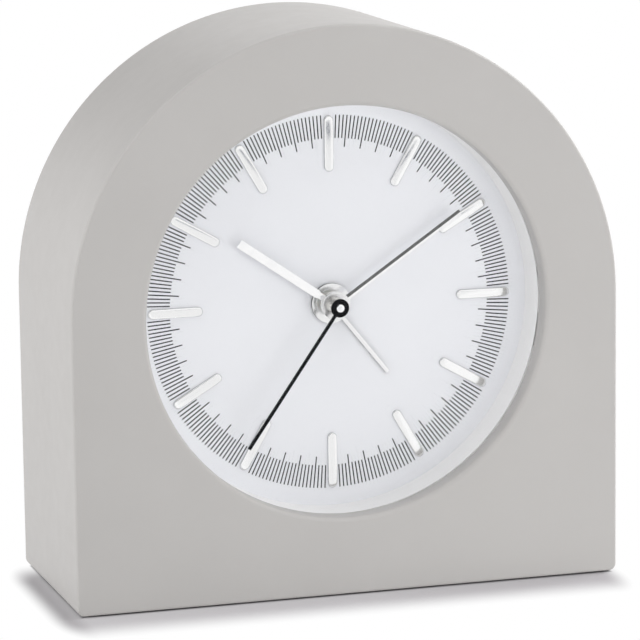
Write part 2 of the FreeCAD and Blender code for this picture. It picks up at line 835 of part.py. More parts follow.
def minute_hand_collar():
    """Collar on the minute hand, closed round the second hand's tube."""
    body = add_body("minute_hand_collar")
    low = s.minute_hand_level + s.blade_ridge
    inner = s.collar_radius - s.collar_wall
    shoulder = s.collar_top_level - s.collar_wall
    mouth = s.second_tube_radius + s.plate_gap
    add_turning(body, "collar", [(inner, low), (s.collar_radius, low), (s.collar_radius, s.collar_top_level),
                                 (mouth, s.collar_top_level), (mouth, shoulder), (inner, shoulder)])
    placed(body, turn=-s.minute_rest_angle.number)


def alarm_hand():
    """Slim alarm hand stamped in one piece with its disc."""
    body = add_body("alarm_hand")
    add_disc(body, "disc", s.alarm_disc_radius, s.alarm_hand_level, s.alarm_hand_thickness)
    sketch = add_sketch(body, "pointer_outline", s.alarm_hand_level)
    half = s.alarm_hand_width / 2
    draw_polygon(sketch, rectangle(-half, ZERO, half, s.alarm_hand_length))
    add_pad(body, "pointer", sketch, s.alarm_hand_thickness)
    add_hole(body, "pipe_hole", alarm_pipe_outer + s.press_gap, s.alarm_hand_level + s.overrun * 2,
             s.overrun * 4)
    placed(body, turn=-s.alarm_rest_angle.number)


def second_hand():
    """Black second hand: a flat ring and a thin pointer without a tail."""
    body = add_body("second_hand")
    add_disc(body, "ring", s.second_ring_radius, s.second_hand_level, s.second_hand_thickness)
    sketch = add_sketch(body, "pointer_outline", s.second_hand_level)
    half = s.second_hand_width / 2
    draw_polygon(sketch, rectangle(-half, ZERO, half, s.second_hand_length))
    add_pad(body, "pointer", sketch, s.second_hand_thickness)
    add_hole(body, "tube_hole", s.second_tube_radius + s.press_gap, s.second_hand_level + s.overrun * 2,
             s.overrun * 4)
    placed(body, turn=-s.second_rest_angle.number)


def second_hand_tube():
    """Bright tube that carries the second hand on its arbor."""
    body = add_body("second_hand_tube")
    add_disc(body, "tube", s.second_tube_radius, s.second_tube_start, s.second_tube_top - s.second_tube_start)
    sketch = add_sketch(body, "bore_circle", s.second_tube_start - s.overrun)
    draw_circle(sketch, s.second_arbor_radius + s.press_gap)
    reach = s.second_hand_level - s.second_tube_start + s.plate_gap + s.overrun
    add_pocket(body, "bore", sketch, reach, forward=True)
    placed(body, turn=-s.second_rest_angle.number)


# Movement housing

def housing_outline(inset):
    """Corner circles of the housing's square, drawn in by an inset."""
    width = s.housing_size - inset * 2
    return box_circles(width, width, s.housing_corner_radius)


def pillar_places():
    reach = s.housing_size / 2 - s.pillar_inset
    return [(reach * side, reach * end) for side in (-1, 1) for end in (-1, 1)]


def movement_front_housing():
    """Moulded cup with pillars for the middle plate and the post of the minute work."""
    body = add_body("movement_front_housing")
    outside = add_sketch(body, "outside_outline", housing_rear_level)
    draw_belt(outside, housing_outline(ZERO))
    add_pad(body, "cup", outside, s.housing_depth)
    inside = add_sketch(body, "inside_outline", housing_inner_level)
    draw_belt(inside, housing_outline(s.housing_wall))
    add_pocket(body, "inside", inside, s.housing_depth)
    pillars = add_sketch(body, "pillar_circles", middle_plate_level)
    for x, y in pillar_places():
        draw_circle(pillars, s.pillar_radius, x, y)
    add_pad(body, "pillars", pillars, housing_inner_level - middle_plate_level)
    post_foot = middle_plate_level + s.plate_gap
    add_disc(body, "work_post", s.post_radius, post_foot, housing_inner_level - post_foot, ZERO, work_y)
    add_hole(body, "bushing_hole", s.bushing_outer_radius + s.press_gap, housing_level,
             s.housing_wall + s.overrun)
    pivots = add_sketch(body, "pivot_circles", housing_inner_level - s.overrun)
    for side in (-1, 1):
        draw_circle(pivots, s.pivot_radius + s.running_clearance, set_x * side, work_y)
    reach = s.pivot_length + s.plate_gap + s.overrun
    add_pocket(body, "pivot_holes", pivots, reach, forward=True)
    placed(body)


def middle_plate():
    """Bearing plate between the hands' work and the going train, with posts for the stator."""
    body = add_body("middle_plate")
    outline = add_sketch(body, "outline", middle_plate_rear_level)
    draw_belt(outline, housing_outline(s.housing_wall + s.plate_gap))
    add_pad(body, "plate", outline, s.middle_plate_thickness)
    add_stator_posts(body)
    holes = add_sketch(body, "bearing_circles", middle_plate_level)
    draw_circle(holes, minute_pipe_outer + s.plate_gap)
    for side in (-1, 1):
        draw_circle(holes, s.set_shaft_radius + s.running_clearance, set_x * side, work_y)
    for x, y in ((third_x, third_y), (fifth_x, fifth_y), (rotor_x, rotor_y)):
        draw_circle(holes, s.arbor_radius + s.running_clearance, x, y)
    add_pocket(body, "bearing_holes", holes, s.middle_plate_thickness + s.overrun)
    placed(body)


def movement_rear_housing():
    """Rear plate of the movement, with bearings and posts for the circuit board."""
    body = add_body("movement_rear_housing")
    outline = add_sketch(body, "outline", rear_plate_level)
    draw_belt(outline, housing_outline(ZERO))
    add_pad(body, "plate", outline, s.rear_plate_thickness)
    posts = add_sketch(body, "board_post_circles", housing_rear_level)
    reach = s.board_width / 2 - s.board_post_inset
    for side in (-1, 1):
        draw_circle(posts, s.board_post_radius, reach * side, board_middle_y)
    add_pad(body, "board_posts", posts, s.board_lift)
    shafts = add_sketch(body, "shaft_circles", housing_rear_level)
    for side in (-1, 1):
        draw_circle(shafts, s.set_shaft_radius + s.running_clearance, set_x * side, work_y)
    add_pocket(body, "shaft_holes", shafts, s.rear_plate_thickness + s.overrun)
    bearings = add_sketch(body, "bearing_circles", housing_rear_level)
    draw_circle(bearings, s.second_arbor_radius + s.running_clearance)
    for x, y in ((third_x, third_y), (fifth_x, fifth_y), (rotor_x, rotor_y)):
        draw_circle(bearings, s.arbor_radius + s.running_clearance, x, y)
    add_pocket(body, "bearings", bearings, s.bearing_depth)
    placed(body)


# Wheels

arbor_foot = housing_rear_level - s.bearing_depth + s.plate_gap
arbor_head = middle_plate_level - s.plate_gap


def add_wheel(body, name, teeth, pitch_radius, layer):
    add_gear(body, name, teeth, pitch_radius, layer_level(layer), s.wheel_thickness)


def add_pinion(body, name, teeth, pitch_radius, layer):
    """A pinion, a little thicker than the wheel that it meshes with."""
    add_gear(body, name, teeth, pitch_radius, layer_level(layer) - s.pinion_overlap,
             s.wheel_thickness + s.pinion_overlap * 2)


def second_wheel():
    """Second wheel on the long arbor of the second hand."""
    body = add_body("second_wheel")
    add_disc(body, "arbor", s.second_arbor_radius, arbor_foot, s.second_hand_level - arbor_foot)
    add_wheel(body, "wheel", s.second_wheel_teeth,
              share_pitch(s.fifth_distance, s.second_wheel_teeth, s.fifth_pinion_teeth), 5)
    add_pinion(body, "pinion", s.second_pinion_teeth,
               share_pitch(s.third_distance, s.second_pinion_teeth, s.third_wheel_teeth), 4)
    placed(body, turn=second_turn)


def third_wheel():
    body = add_body("third_wheel")
    add_disc(body, "arbor", s.arbor_radius, arbor_foot, arbor_head - arbor_foot)
    add_wheel(body, "wheel", s.third_wheel_teeth,
              share_pitch(s.third_distance, s.third_wheel_teeth, s.second_pinion_teeth), 4)
    add_pinion(body, "pinion", s.third_pinion_teeth,
               share_pitch(s.third_distance, s.third_pinion_teeth, s.centre_wheel_teeth), 3)
    placed(body, third_x, third_y, third_turn)


def fifth_wheel():
    body = add_body("fifth_wheel")
    add_disc(body, "arbor", s.arbor_radius, arbor_foot, arbor_head - arbor_foot)
    add_wheel(body, "wheel", s.fifth_wheel_teeth,
              share_pitch(s.rotor_distance, s.fifth_wheel_teeth, s.rotor_pinion_teeth), 6)
    add_pinion(body, "pinion", s.fifth_pinion_teeth,
               share_pitch(s.fifth_distance, s.fifth_pinion_teeth, s.second_wheel_teeth), 5)
    placed(body, fifth_x, fifth_y, fifth_turn)


def rotor():
    """Rotor arbor and pinion of the stepping motor."""
    body = add_body("rotor")
    add_disc(body, "arbor", s.arbor_radius, arbor_foot, arbor_head - arbor_foot)
    add_pinion(body, "pinion", s.rotor_pinion_teeth,
               share_pitch(s.rotor_distance, s.rotor_pinion_teeth, s.fifth_wheel_teeth), 6)
    placed(body, rotor_x, rotor_y, rotor_turn)


def add_piped_wheel(label, inner, outer, top, layer, teeth, pitch_radius, turn):
    """A wheel on a pipe that carries its hand through the dial."""
    body = add_body(label)
    low = layer_level(layer)
    add_disc(body, "pipe", outer, low, top - low)
    add_wheel(body, "wheel", teeth, pitch_radius, layer)
    if label == "centre_wheel":
        add_pinion(body, "pinion", s.minute_pinion_teeth,
                   share_pitch(s.work_distance, s.minute_pinion_teeth, s.work_wheel_teeth), 2)
    add_hole(body, "bore", inner, top + s.overrun, top - low + s.overrun * 2)
    placed(body, turn=turn)


def centre_wheel():
    add_piped_wheel("centre_wheel", minute_pipe_inner, minute_pipe_outer,
                    s.minute_hand_level + s.blade_ridge, 3, s.centre_wheel_teeth,
                    share_pitch(s.third_distance, s.centre_wheel_teeth, s.third_pinion_teeth), centre_turn)


def hour_wheel():
    add_piped_wheel("hour_wheel", hour_pipe_inner, hour_pipe_outer, s.hour_hand_level + s.blade_ridge, 1,
                    s.hour_wheel_teeth,
                    share_pitch(s.work_distance, s.hour_wheel_teeth, s.work_pinion_teeth), hour_turn)


def alarm_wheel():
    add_piped_wheel("alarm_wheel", alarm_pipe_inner, alarm_pipe_outer,
                    s.alarm_hand_level + s.alarm_hand_thickness, 0, s.alarm_wheel_teeth,
                    share_pitch(alarm_distance, s.alarm_wheel_teeth, s.alarm_pinion_teeth), alarm_turn)


def minute_work_wheel():
    """Wheel and pinion that gear the minute down to the hour, loose on the housing's post."""
    body = add_body("minute_work_wheel")
    bore = s.post_radius + s.running_clearance
    low = layer_level(2)
    top = layer_level(1) + s.wheel_thickness + s.pinion_overlap
    work_pinion_radius = share_pitch(s.work_distance, s.work_pinion_teeth, s.hour_wheel_teeth)
    hub = work_pinion_radius - work_pinion_radius * 2 / s.work_pinion_teeth * s.tooth_root_share
    add_disc(body, "hub", hub, low, top - low)
    add_wheel(body, "wheel", s.work_wheel_teeth,
              share_pitch(s.work_distance, s.work_wheel_teeth, s.minute_pinion_teeth), 2)
    add_pinion(body, "pinion", s.work_pinion_teeth, work_pinion_radius, 1)
    add_hole(body, "bore", bore, top + s.overrun, top - low + s.overrun * 2)
    placed(body, ZERO, work_y, work_turn)


# Setting shafts and knobs

def add_set_shaft(label, teeth, pitch_radius, layer, x, turn):
    """A setting shaft from its front pivot through the movement and the rear cover."""
    body = add_body(label)
    shoulder = layer_level(layer) + s.wheel_thickness + s.pinion_overlap
    foot = cover_rear_level - s.knob_gap - s.knob_height + s.knob_cap
    add_disc(body, "shaft", s.set_shaft_radius, foot, shoulder - foot)
    add_disc(body, "pivot", s.pivot_radius, shoulder, housing_inner_level + s.pivot_length - shoulder)
    add_pinion(body, "pinion", teeth, pitch_radius, layer)
    placed(body, x, work_y, turn)


def time_set_shaft():
    add_set_shaft("time_set_shaft", s.set_pinion_teeth,
                  share_pitch(s.work_distance, s.set_pinion_teeth, s.work_wheel_teeth), 2, set_x,
                  time_set_turn)


def alarm_set_shaft():
    add_set_shaft("alarm_set_shaft", s.alarm_pinion_teeth,
                  share_pitch(alarm_distance, s.alarm_pinion_teeth, s.alarm_wheel_teeth), 0, -set_x,
                  alarm_set_turn)


def add_knob(label, x, turn):
    """A grooved knob pressed on its shaft behind the rear cover."""
    body = add_body(label)
    top = cover_rear_level - s.knob_gap
    low = top - s.knob_height
    bore = s.set_shaft_radius + s.press_gap
    edge = s.knob_top_edge
    add_turning(body, "knob", [(ZERO, low), (s.knob_radius - edge, low), (s.knob_radius, low + edge),
                               (s.knob_radius, top), (bore, top), (bore, low + s.knob_cap),
                               (ZERO, low + s.knob_cap)])
    sketch = add_sketch(body, "groove_circle", low + s.knob_grip_depth)
    draw_circle(sketch, s.knob_groove_radius, s.knob_radius + s.knob_groove_radius / 2)
    groove = add_pocket(body, "groove", sketch, s.knob_grip_depth + s.overrun)
    add_ring_pattern(body, "grooves", [groove], s.knob_groove_count)
    placed(body, x, work_y, turn)


def time_knob():
    add_knob("time_knob", set_x, time_set_turn)


def alarm_knob():
    add_knob("alarm_knob", -set_x, alarm_set_turn)


# Motor and electronics

stator_front_level = housing_level - s.stator_depth
stator_rear_level = stator_front_level - s.stator_thickness
stator_reach = s.magnet_radius + s.stator_hole_gap + s.stator_margin
stator_left = rotor_x - stator_reach
core_y = rotor_y - s.core_drop
core_level = (stator_front_level + stator_rear_level) / 2
board_level = housing_rear_level + s.board_lift
board_top_level = board_level + s.board_thickness
board_low_y = -(s.housing_size / 2 - s.housing_wall - s.board_edge_gap)
board_middle_y = board_low_y + s.board_height / 2


def add_stator_posts(body):
    """Two posts behind the middle plate that carry the stator."""
    sketch = add_sketch(body, "stator_post_circles", stator_front_level)
    inset = s.stator_margin / 2
    draw_circle(sketch, inset, stator_left + inset, rotor_y + stator_reach - inset)
    draw_circle(sketch, inset, stator_left + inset, core_y)
    add_pad(body, "stator_posts", sketch, middle_plate_rear_level - stator_front_level)


def rotor_magnet():
    body = add_body("rotor_magnet")
    half = s.magnet_thickness / 2
    add_turning(body, "ring", ring_profile(s.arbor_radius + s.press_gap, s.magnet_radius,
                                           core_level - half, core_level + half))
    placed(body, rotor_x, rotor_y, rotor_turn)


def stator():
    """Soft iron plate round the rotor, with the bar that the coil sits on."""
    body = add_body("stator")
    sketch = add_sketch(body, "outline", stator_rear_level)
    half_core = s.core_width / 2
    right = rotor_x + stator_reach
    core_end = stator_left + s.core_length
    draw_polygon(sketch, [(stator_left, core_y - half_core), (core_end, core_y - half_core),
                          (core_end, core_y + half_core), (right, core_y + half_core),
                          (right, rotor_y + stator_reach), (stator_left, rotor_y + stator_reach)])
    add_pad(body, "plate", sketch, s.stator_thickness)
    add_hole(body, "rotor_hole", s.magnet_radius + s.stator_hole_gap, stator_front_level,
             s.stator_thickness + s.overrun, rotor_x, rotor_y)
    placed(body)


def coil_section(margin):
    """Half height and half depth of a box round the coil's core."""
    return s.core_width / 2 + margin, s.stator_thickness / 2 + margin


def add_core_box(body, name, left, right, margin):
    """A block round the core from left to right."""
    half_height, half_depth = coil_section(margin)
    sketch = add_sketch(body, name + "_outline", core_level - half_depth)
    draw_polygon(sketch, rectangle(left, core_y - half_height, right, core_y + half_height))
    return add_pad(body, name, sketch, half_depth * 2)


def cut_core_box(body, name, left, right, margin):
    """The passage for the core or the tube through such a block."""
    half_height, half_depth = coil_section(margin)
    sketch = add_sketch(body, name + "_outline", core_level + half_depth)
    draw_polygon(sketch, rectangle(left, core_y - half_height, right, core_y + half_height))
    add_pocket(body, name, sketch, half_depth * 2)


bobbin_left = rotor_x + s.bobbin_start
bobbin_right = bobbin_left + s.bobbin_length
tube_margin = s.core_gap + s.bobbin_wall


def coil_bobbin():
    body = add_body("coil_bobbin")
    flange_margin = tube_margin + s.winding_height + s.core_gap
    add_core_box(body, "tube", bobbin_left, bobbin_right, tube_margin)
    add_core_box(body, "left_flange", bobbin_left, bobbin_left + s.bobbin_flange, flange_margin)
    add_core_box(body, "right_flange", bobbin_right - s.bobbin_flange, bobbin_right, flange_margin)
    cut_core_box(body, "passage", bobbin_left - s.overrun, bobbin_right + s.overrun, s.core_gap)
    placed(body)


def coil_winding():
    """The wound copper, as one closed form between the flanges."""
    body = add_body("coil_winding")
    left = bobbin_left + s.bobbin_flange + s.core_gap
    right = bobbin_right - s.bobbin_flange - s.core_gap
    add_core_box(body, "winding", left, right, tube_margin + s.winding_height)
    cut_core_box(body, "passage", left - s.overrun, right + s.overrun, tube_margin + s.press_gap)
    placed(body)


def circuit_board():
    body = add_body("circuit_board")
    sketch = add_sketch(body, "outline", board_level)
    half = s.board_width / 2
    draw_polygon(sketch, rectangle(-half, board_low_y, half, board_low_y + s.board_height))
    add_pad(body, "board", sketch, s.board_thickness)
    placed(body)


def control_chip():
    """Chip under a flat drop of black resin."""
    body = add_body("control_chip")
    add_turning(body, "drop", [(ZERO, board_top_level), (s.chip_radius, board_top_level),
                               (s.chip_radius * 3 / 4, board_top_level + s.chip_height),
                               (ZERO, board_top_level + s.chip_height)])
    placed(body, s.board_width / 2 - s.chip_radius, board_middle_y)


def quartz_crystal():
    """Small metal can lying on the board."""
    body = add_body("quartz_crystal")
    sketch = add_sketch(body, "can_circle", -(board_low_y + s.crystal_length), role="XZ_Plane")
    x = -s.board_width / 2 + s.crystal_radius * 2
    draw_circle(sketch, s.crystal_radius, x, board_top_level + s.crystal_radius)
    add_pad(body, "can", sketch, s.crystal_length - s.board_edge_gap)
    placed(body)


def alarm_contact_spring():
    """Leaf contact on the housing's floor, reaching between alarm wheel and hour wheel."""
    body = add_body("alarm_contact_spring")
    leaf_level = layer_level(0) - s.spring_thickness * 2
    outer = -(s.housing_size / 2 - s.housing_wall - s.spring_foot)
    sketch = add_sketch(body, "leaf_section", -s.spring_width / 2, role="YZ_Plane")
    step = s.spring_thickness
    draw_polygon(sketch, [(outer - s.spring_foot, housing_inner_level - step),
                          (outer - step, housing_inner_level - step),
                          (outer - step, leaf_level), (outer + s.spring_reach, leaf_level),
                          (outer + s.spring_reach, leaf_level + step), (outer, leaf_level + step),
                          (outer, housing_inner_level), (outer - s.spring_foot, housing_inner_level)])
    add_pad(body, "leaf", sketch, s.spring_width)
    placed(body)


# Rear cover and battery bay

bay_half = s.bay_length / 2
bay_low_y = -s.bay_drop - s.bay_width / 2
battery_level = cover_seat_level + s.bay_depth - s.bay_wall - s.battery_floor_gap - s.battery_radius


def rear_cover():
    """Arched cover with the battery bay moulded on its inner side."""
    body = add_body("rear_cover")
    outline = add_sketch(body, "outline", cover_rear_level)
    half = s.case_width / 2 - s.rear_rim_width - s.cover_gap
    draw_belt(outline, arch_circles(half, arch_centre, case_base + s.rear_rim_width + s.cover_gap,
                                    s.rear_corner_radius - s.cover_gap))
    add_pad(body, "plate", outline, s.cover_thickness)
    walls = add_sketch(body, "bay_wall_outline", cover_seat_level)
    draw_belt(walls, box_circles(s.bay_length + s.bay_wall * 2, s.bay_width + s.bay_wall * 2, s.bay_wall,
                                 y=-s.bay_drop))
    add_pad(body, "bay_walls", walls, s.bay_depth)
    bay = add_sketch(body, "bay_outline", cover_seat_level + s.bay_depth - s.bay_wall)
    draw_polygon(bay, rectangle(-bay_half, bay_low_y, bay_half, bay_low_y + s.bay_width))
    add_pocket(body, "bay", bay, s.bay_depth + s.cover_thickness + s.overrun)
    slots = add_sketch(body, "tab_slot_outlines", cover_seat_level)
    for side in (-1, 1):
        centre = s.tab_spacing / 2 * side
        reach = s.tab_width / 2 + s.door_gap
        draw_polygon(slots, rectangle(centre - reach, bay_low_y - s.bay_wall - s.overrun,
                                      centre + reach, bay_low_y + s.overrun))
    add_pocket(body, "tab_slots", slots, s.tab_thickness + s.door_gap * 4, forward=True)
    tails = add_sketch(body, "tail_slot_outlines", battery_level + s.contact_thickness)
    for side in (-1, 1):
        inner = (bay_half - s.overrun) * side
        outer = (bay_half + s.bay_wall + s.overrun) * side
        reach = s.contact_tail_width / 2 + s.plate_gap
        left, right = (outer, inner) if side < 0 else (inner, outer)
        draw_polygon(tails, rectangle(left, -s.bay_drop - reach, right, -s.bay_drop + reach))
    add_pocket(body, "tail_slots", tails, s.contact_thickness * 2)
    holes = add_sketch(body, "shaft_circles", cover_seat_level)
    for side in (-1, 1):
        draw_circle(holes, s.set_shaft_radius + s.running_clearance, set_x * side, work_y)
    for x, y in cover_screw_places():
        draw_circle(holes, s.cover_screw_radius + s.screw_clearance, x, y)
    add_pocket(body, "shaft_and_screw_holes", holes, s.cover_thickness + s.overrun)
    sounds = add_sketch(body, "sound_hole_circles", cover_seat_level)
    draw_circle(sounds, s.sound_hole_radius, ZERO, s.buzzer_rise)
    step = 360 / s.sound_hole_count.number
    for index in range(round(s.sound_hole_count.number)):
        draw_circle(sounds, s.sound_hole_radius, s.sound_ring_radius.along_x(step * index),
                    s.buzzer_rise + s.sound_ring_radius.along_y(step * index))
    add_pocket(body, "sound_holes", sounds, s.cover_thickness + s.overrun)
    slot = add_sketch(body, "switch_slot_outline", cover_seat_level)
    half_x = s.slider_width / 2 + s.slider_clearance
    half_y = (s.slider_length + s.slider_travel) / 2 + s.slider_clearance
    draw_polygon(slot, rectangle(s.switch_side - half_x, work_y - half_y,
                                 s.switch_side + half_x, work_y + half_y))
    add_pocket(body, "switch_slot", slot, s.cover_thickness + s.overrun)
    placed(body)


def cover_screws():
    """Four pan-head screws through the rear cover into the case."""
    body = add_body("cover_screws", several=True)
    shanks = add_sketch(body, "shank_circles", cover_rear_level)
    for x, y in cover_screw_places():
        draw_circle(shanks, s.cover_screw_radius, x, y)
    add_pad(body, "shanks", shanks, s.cover_thickness + s.cover_screw_bite)
    heads = add_sketch(body, "head_circles", cover_rear_level - s.cover_head_height)
    for x, y in cover_screw_places():
        draw_circle(heads, s.cover_head_radius, x, y)
    add_pad(body, "heads", heads, s.cover_head_height)
    placed(body)


def battery_door():
    """Flush door that swings on two tabs hooked under the lower edge of its opening."""
    body = add_body("battery_door")
    left = -(bay_half - s.door_gap)
    low = bay_low_y + s.door_gap
    high = bay_low_y + s.bay_width - s.door_gap
    sketch = add_sketch(body, "outline", cover_rear_level)
    draw_polygon(sketch, rectangle(left, low, -left, high))
    add_pad(body, "plate", sketch, s.cover_thickness)
    tabs = add_sketch(body, "tab_outlines", cover_seat_level)
    for side in (-1, 1):
        centre = s.tab_spacing / 2 * side
        draw_polygon(tabs, rectangle(centre - s.tab_width / 2, low, centre + s.tab_width / 2,
                                     low + s.tab_thickness))
    add_pad(body, "tabs", tabs, s.door_gap + s.tab_thickness)
    hooks = add_sketch(body, "hook_outlines", cover_seat_level + s.door_gap)
    for side in (-1, 1):
        centre = s.tab_spacing / 2 * side
        draw_polygon(hooks, rectangle(centre - s.tab_width / 2, low - s.door_gap - s.tab_hook,
                                      centre + s.tab_width / 2, low + s.tab_thickness))
    add_pad(body, "hooks", hooks, s.tab_thickness)
    grip = add_sketch(body, "grip_outline", cover_rear_level - s.overrun)
    draw_belt(grip, box_circles(s.grip_width, s.grip_height, s.grip_height / 3,
                                y=high - s.grip_height))
    add_pocket(body, "grip", grip, s.grip_depth + s.overrun, forward=True)
    placed(body)


contact_right = bay_half - s.plate_gap
battery_right = contact_right - s.contact_thickness - s.plate_gap
battery_left = battery_right - s.battery_nub_length - s.battery_length


def battery():
    """Round cell lying across the bay, its nub to the right."""
    body = add_body("battery")
    sketch = add_sketch(body, "can_circle", battery_left, role="YZ_Plane")
    draw_circle(sketch, s.battery_radius, -s.bay_drop, battery_level)
    add_pad(body, "can", sketch, s.battery_length)
    sketch = add_sketch(body, "nub_circle", battery_left + s.battery_length, role="YZ_Plane")
    draw_circle(sketch, s.battery_nub_radius, -s.bay_drop, battery_level)
    add_pad(body, "nub", sketch, s.battery_nub_length)
    placed(body)


def add_contact_plate(body, inner, outer, side):
    """The square plate against the bay's end wall and its solder tail through the wall."""
    half = s.contact_size / 2
    plate = add_sketch(body, "plate_outline", battery_level - half)
    left, right = (outer, inner) if side < 0 else (inner, outer)
    draw_polygon(plate, rectangle(left, -s.bay_drop - half, right, -s.bay_drop + half))
    add_pad(body, "plate", plate, s.contact_size)
    tail = add_sketch(body, "tail_outline", battery_level - s.contact_thickness / 2)
    end = tail_end * side
    left, right = (end, outer) if side < 0 else (outer, end)
    reach = s.contact_tail_width / 2
    draw_polygon(tail, rectangle(left, -s.bay_drop - reach, right, -s.bay_drop + reach))
    add_pad(body, "tail", tail, s.contact_thickness)


tail_end = bay_half + s.bay_wall + s.contact_tail_length


def battery_contact_plus():
    body = add_body("battery_contact_plus")
    add_contact_plate(body, contact_right - s.contact_thickness, contact_right, 1)
    placed(body)


def battery_contact_minus():
    """End plate with a bowed leaf that presses on the cell."""
    body = add_body("battery_contact_minus")
    inner = -(contact_right - s.contact_thickness)
    add_contact_plate(body, inner, -contact_right, -1)
    leaf = add_sketch(body, "leaf_outline", battery_level - s.contact_spring_width / 2)
    half = s.contact_size / 2
    tip = battery_left - s.plate_gap
    step = s.contact_thickness
    middle = -s.bay_drop
    draw_polygon(leaf, [(inner, middle - half), (tip, middle - step),
                        (tip, middle + step), (inner, middle + half),
                        (inner, middle + half - step), (tip - step, middle), (inner, middle - half + step)])
    add_pad(body, "leaf", leaf, s.contact_spring_width)
    placed(body)


# Buzzer and switch

def buzzer():
    """Piezo sounder cup behind the sound holes, open towards the cover."""
    body = add_body("buzzer")
    add_disc(body, "cup", s.buzzer_radius, cover_seat_level, s.buzzer_height)
    sketch = add_sketch(body, "chamber_circle", cover_seat_level - s.overrun)
    draw_circle(sketch, s.buzzer_radius - s.buzzer_wall)
    add_pocket(body, "chamber", sketch, s.buzzer_height - s.buzzer_wall + s.overrun, forward=True)
    placed(body, ZERO, s.buzzer_rise)


def switch_body():
    """Channel on the inside of the cover that guides the slider."""
    body = add_body("switch_body")
    sketch = add_sketch(body, "outline", cover_seat_level)
    draw_polygon(sketch, rectangle(-s.switch_width / 2, -s.switch_length / 2,
                                   s.switch_width / 2, s.switch_length / 2))
    add_pad(body, "block", sketch, s.switch_height)
    channel = add_sketch(body, "channel_outline", cover_seat_level - s.overrun)
    half_x = s.switch_width / 2 - s.switch_wall
    half_y = s.switch_length / 2 - s.switch_wall
    draw_polygon(channel, rectangle(-half_x, -half_y, half_x, half_y))
    add_pocket(body, "channel", channel, s.switch_height - s.switch_wall + s.overrun, forward=True)
    placed(body, s.switch_side, work_y)


def alarm_switch_slider():
    """Slider with a ribbed finger grip, shown at the lower end of its slot."""
    body = add_body("alarm_switch_slider")
    drop = -s.slider_travel / 2
    foot = add_sketch(body, "foot_outline", cover_seat_level + s.slider_clearance)
    half_x = s.switch_width / 2 - s.switch_wall - s.slider_clearance
    half_y = s.slider_foot_length / 2
    draw_polygon(foot, rectangle(-half_x, drop - half_y, half_x, drop + half_y))
    add_pad(body, "foot", foot, s.slider_foot_thickness)
    stem = add_sketch(body, "stem_outline", cover_rear_level - s.slider_proud)
    half_x = s.slider_width / 2
    half_y = s.slider_length / 2
    draw_polygon(stem, rectangle(-half_x, drop - half_y, half_x, drop + half_y))
    add_pad(body, "stem", stem, s.slider_proud + s.cover_thickness + s.slider_clearance)
    ribs = add_sketch(body, "rib_outlines", cover_rear_level - s.slider_proud - s.overrun)
    for shift in (-2, 0, 2):
        middle = drop + s.slider_rib * shift
        draw_polygon(ribs, rectangle(-half_x - s.overrun, middle - s.slider_rib / 2,
                                     half_x + s.overrun, middle + s.slider_rib / 2))
    add_pocket(body, "grip_grooves", ribs, s.slider_rib + s.overrun, forward=True)
    placed(body, s.switch_side, work_y)


# Leads

def add_leads(label, routes):
    """Insulated leads: straight runs joined by tangent arcs, one solid for each route."""
    tubes = [lead_tube([FreeCAD.Vector(*[number_of(value) for value in point]) for point in route])
             for route in routes]
    feature = doc.addObject("Part::Feature", label)
    feature.Label = label
    feature.Shape = Part.makeCompound(tubes) if len(tubes) > 1 else tubes[0]
    placed(feature)


def lead_tube(points):
    radius = s.lead_radius.number
    edges = []
    start = points[0]
    for before, corner, after in zip(points, points[1:], points[2:]):
        into = (corner - before).normalize()
        out = (after - corner).normalize()
        turn = into.getAngle(out)
        shorter = min(before.distanceToPoint(corner), corner.distanceToPoint(after))
        setback = shorter * LEAD_SETBACK_SHARE
        bend = setback / math.tan(turn / 2)
        arc_start = corner - into * setback
        arc_end = corner + out * setback
        inward = (out - into).normalize()
        centre = corner + inward * (bend / math.cos(turn / 2))
        arc_middle = centre - inward * bend
        edges.append(Part.LineSegment(start, arc_start).toShape())
        edges.append(Part.Arc(arc_start, arc_middle, arc_end).toShape())
        start = arc_end
    edges.append(Part.LineSegment(start, points[-1]).toShape())
    path = Part.Wire(edges)
    ring = Part.Wire(Part.makeCircle(radius, points[0], points[1] - points[0]))
    tube = Part.Wire(path).makePipeShell([ring], True, False)
    expected = math.pi * radius ** 2 * path.Length
    if abs(tube.Volume - expected) > expected * LEAD_VOLUME_SHARE:
        raise RuntimeError("a lead's tube is not its section along its route")
    return tube


LEAD_SETBACK_SHARE = 0.45
LEAD_VOLUME_SHARE = 0.01


def battery_leads():
    """From each contact's tail round the bay's end to the side of the movement."""
    routes = []
    for side in (-1, 1):
        wall = housing_half * side
        out = (tail_end + s.lead_exit) * side
        entry_y = -(housing_half - s.lead_height)
        entry_level = rear_plate_level + s.lead_height
        routes.append([(tail_end * side, -s.bay_drop, battery_level), (out, -s.bay_drop, battery_level),
                       (out, entry_y, entry_level), (wall, entry_y, entry_level)])
    add_leads("battery_leads", routes)


def buzzer_leads():
    """Two leads from the buzzer's back to the top of the movement."""
    routes = []
    for side in (-1, 1):
        x = s.lead_spacing / 2 * side
        start = cover_seat_level + s.buzzer_height
        level = rear_plate_level + s.lead_height
        routes.append([(x, s.buzzer_rise, start), (x, s.buzzer_rise, level), (x, housing_half, level)])
    add_leads("buzzer_leads", routes)


def switch_leads():
    """Two leads from the switch to the side of the movement."""
    routes = []
    for side in (-1, 1):
        y = work_y + s.lead_spacing / 2 * side
        start = cover_seat_level + s.switch_height
        level = rear_plate_level + s.lead_height
        routes.append([(s.switch_side, y, start), (s.switch_side, y, level), (housing_half, y, level)])
    add_leads("switch_leads", routes)


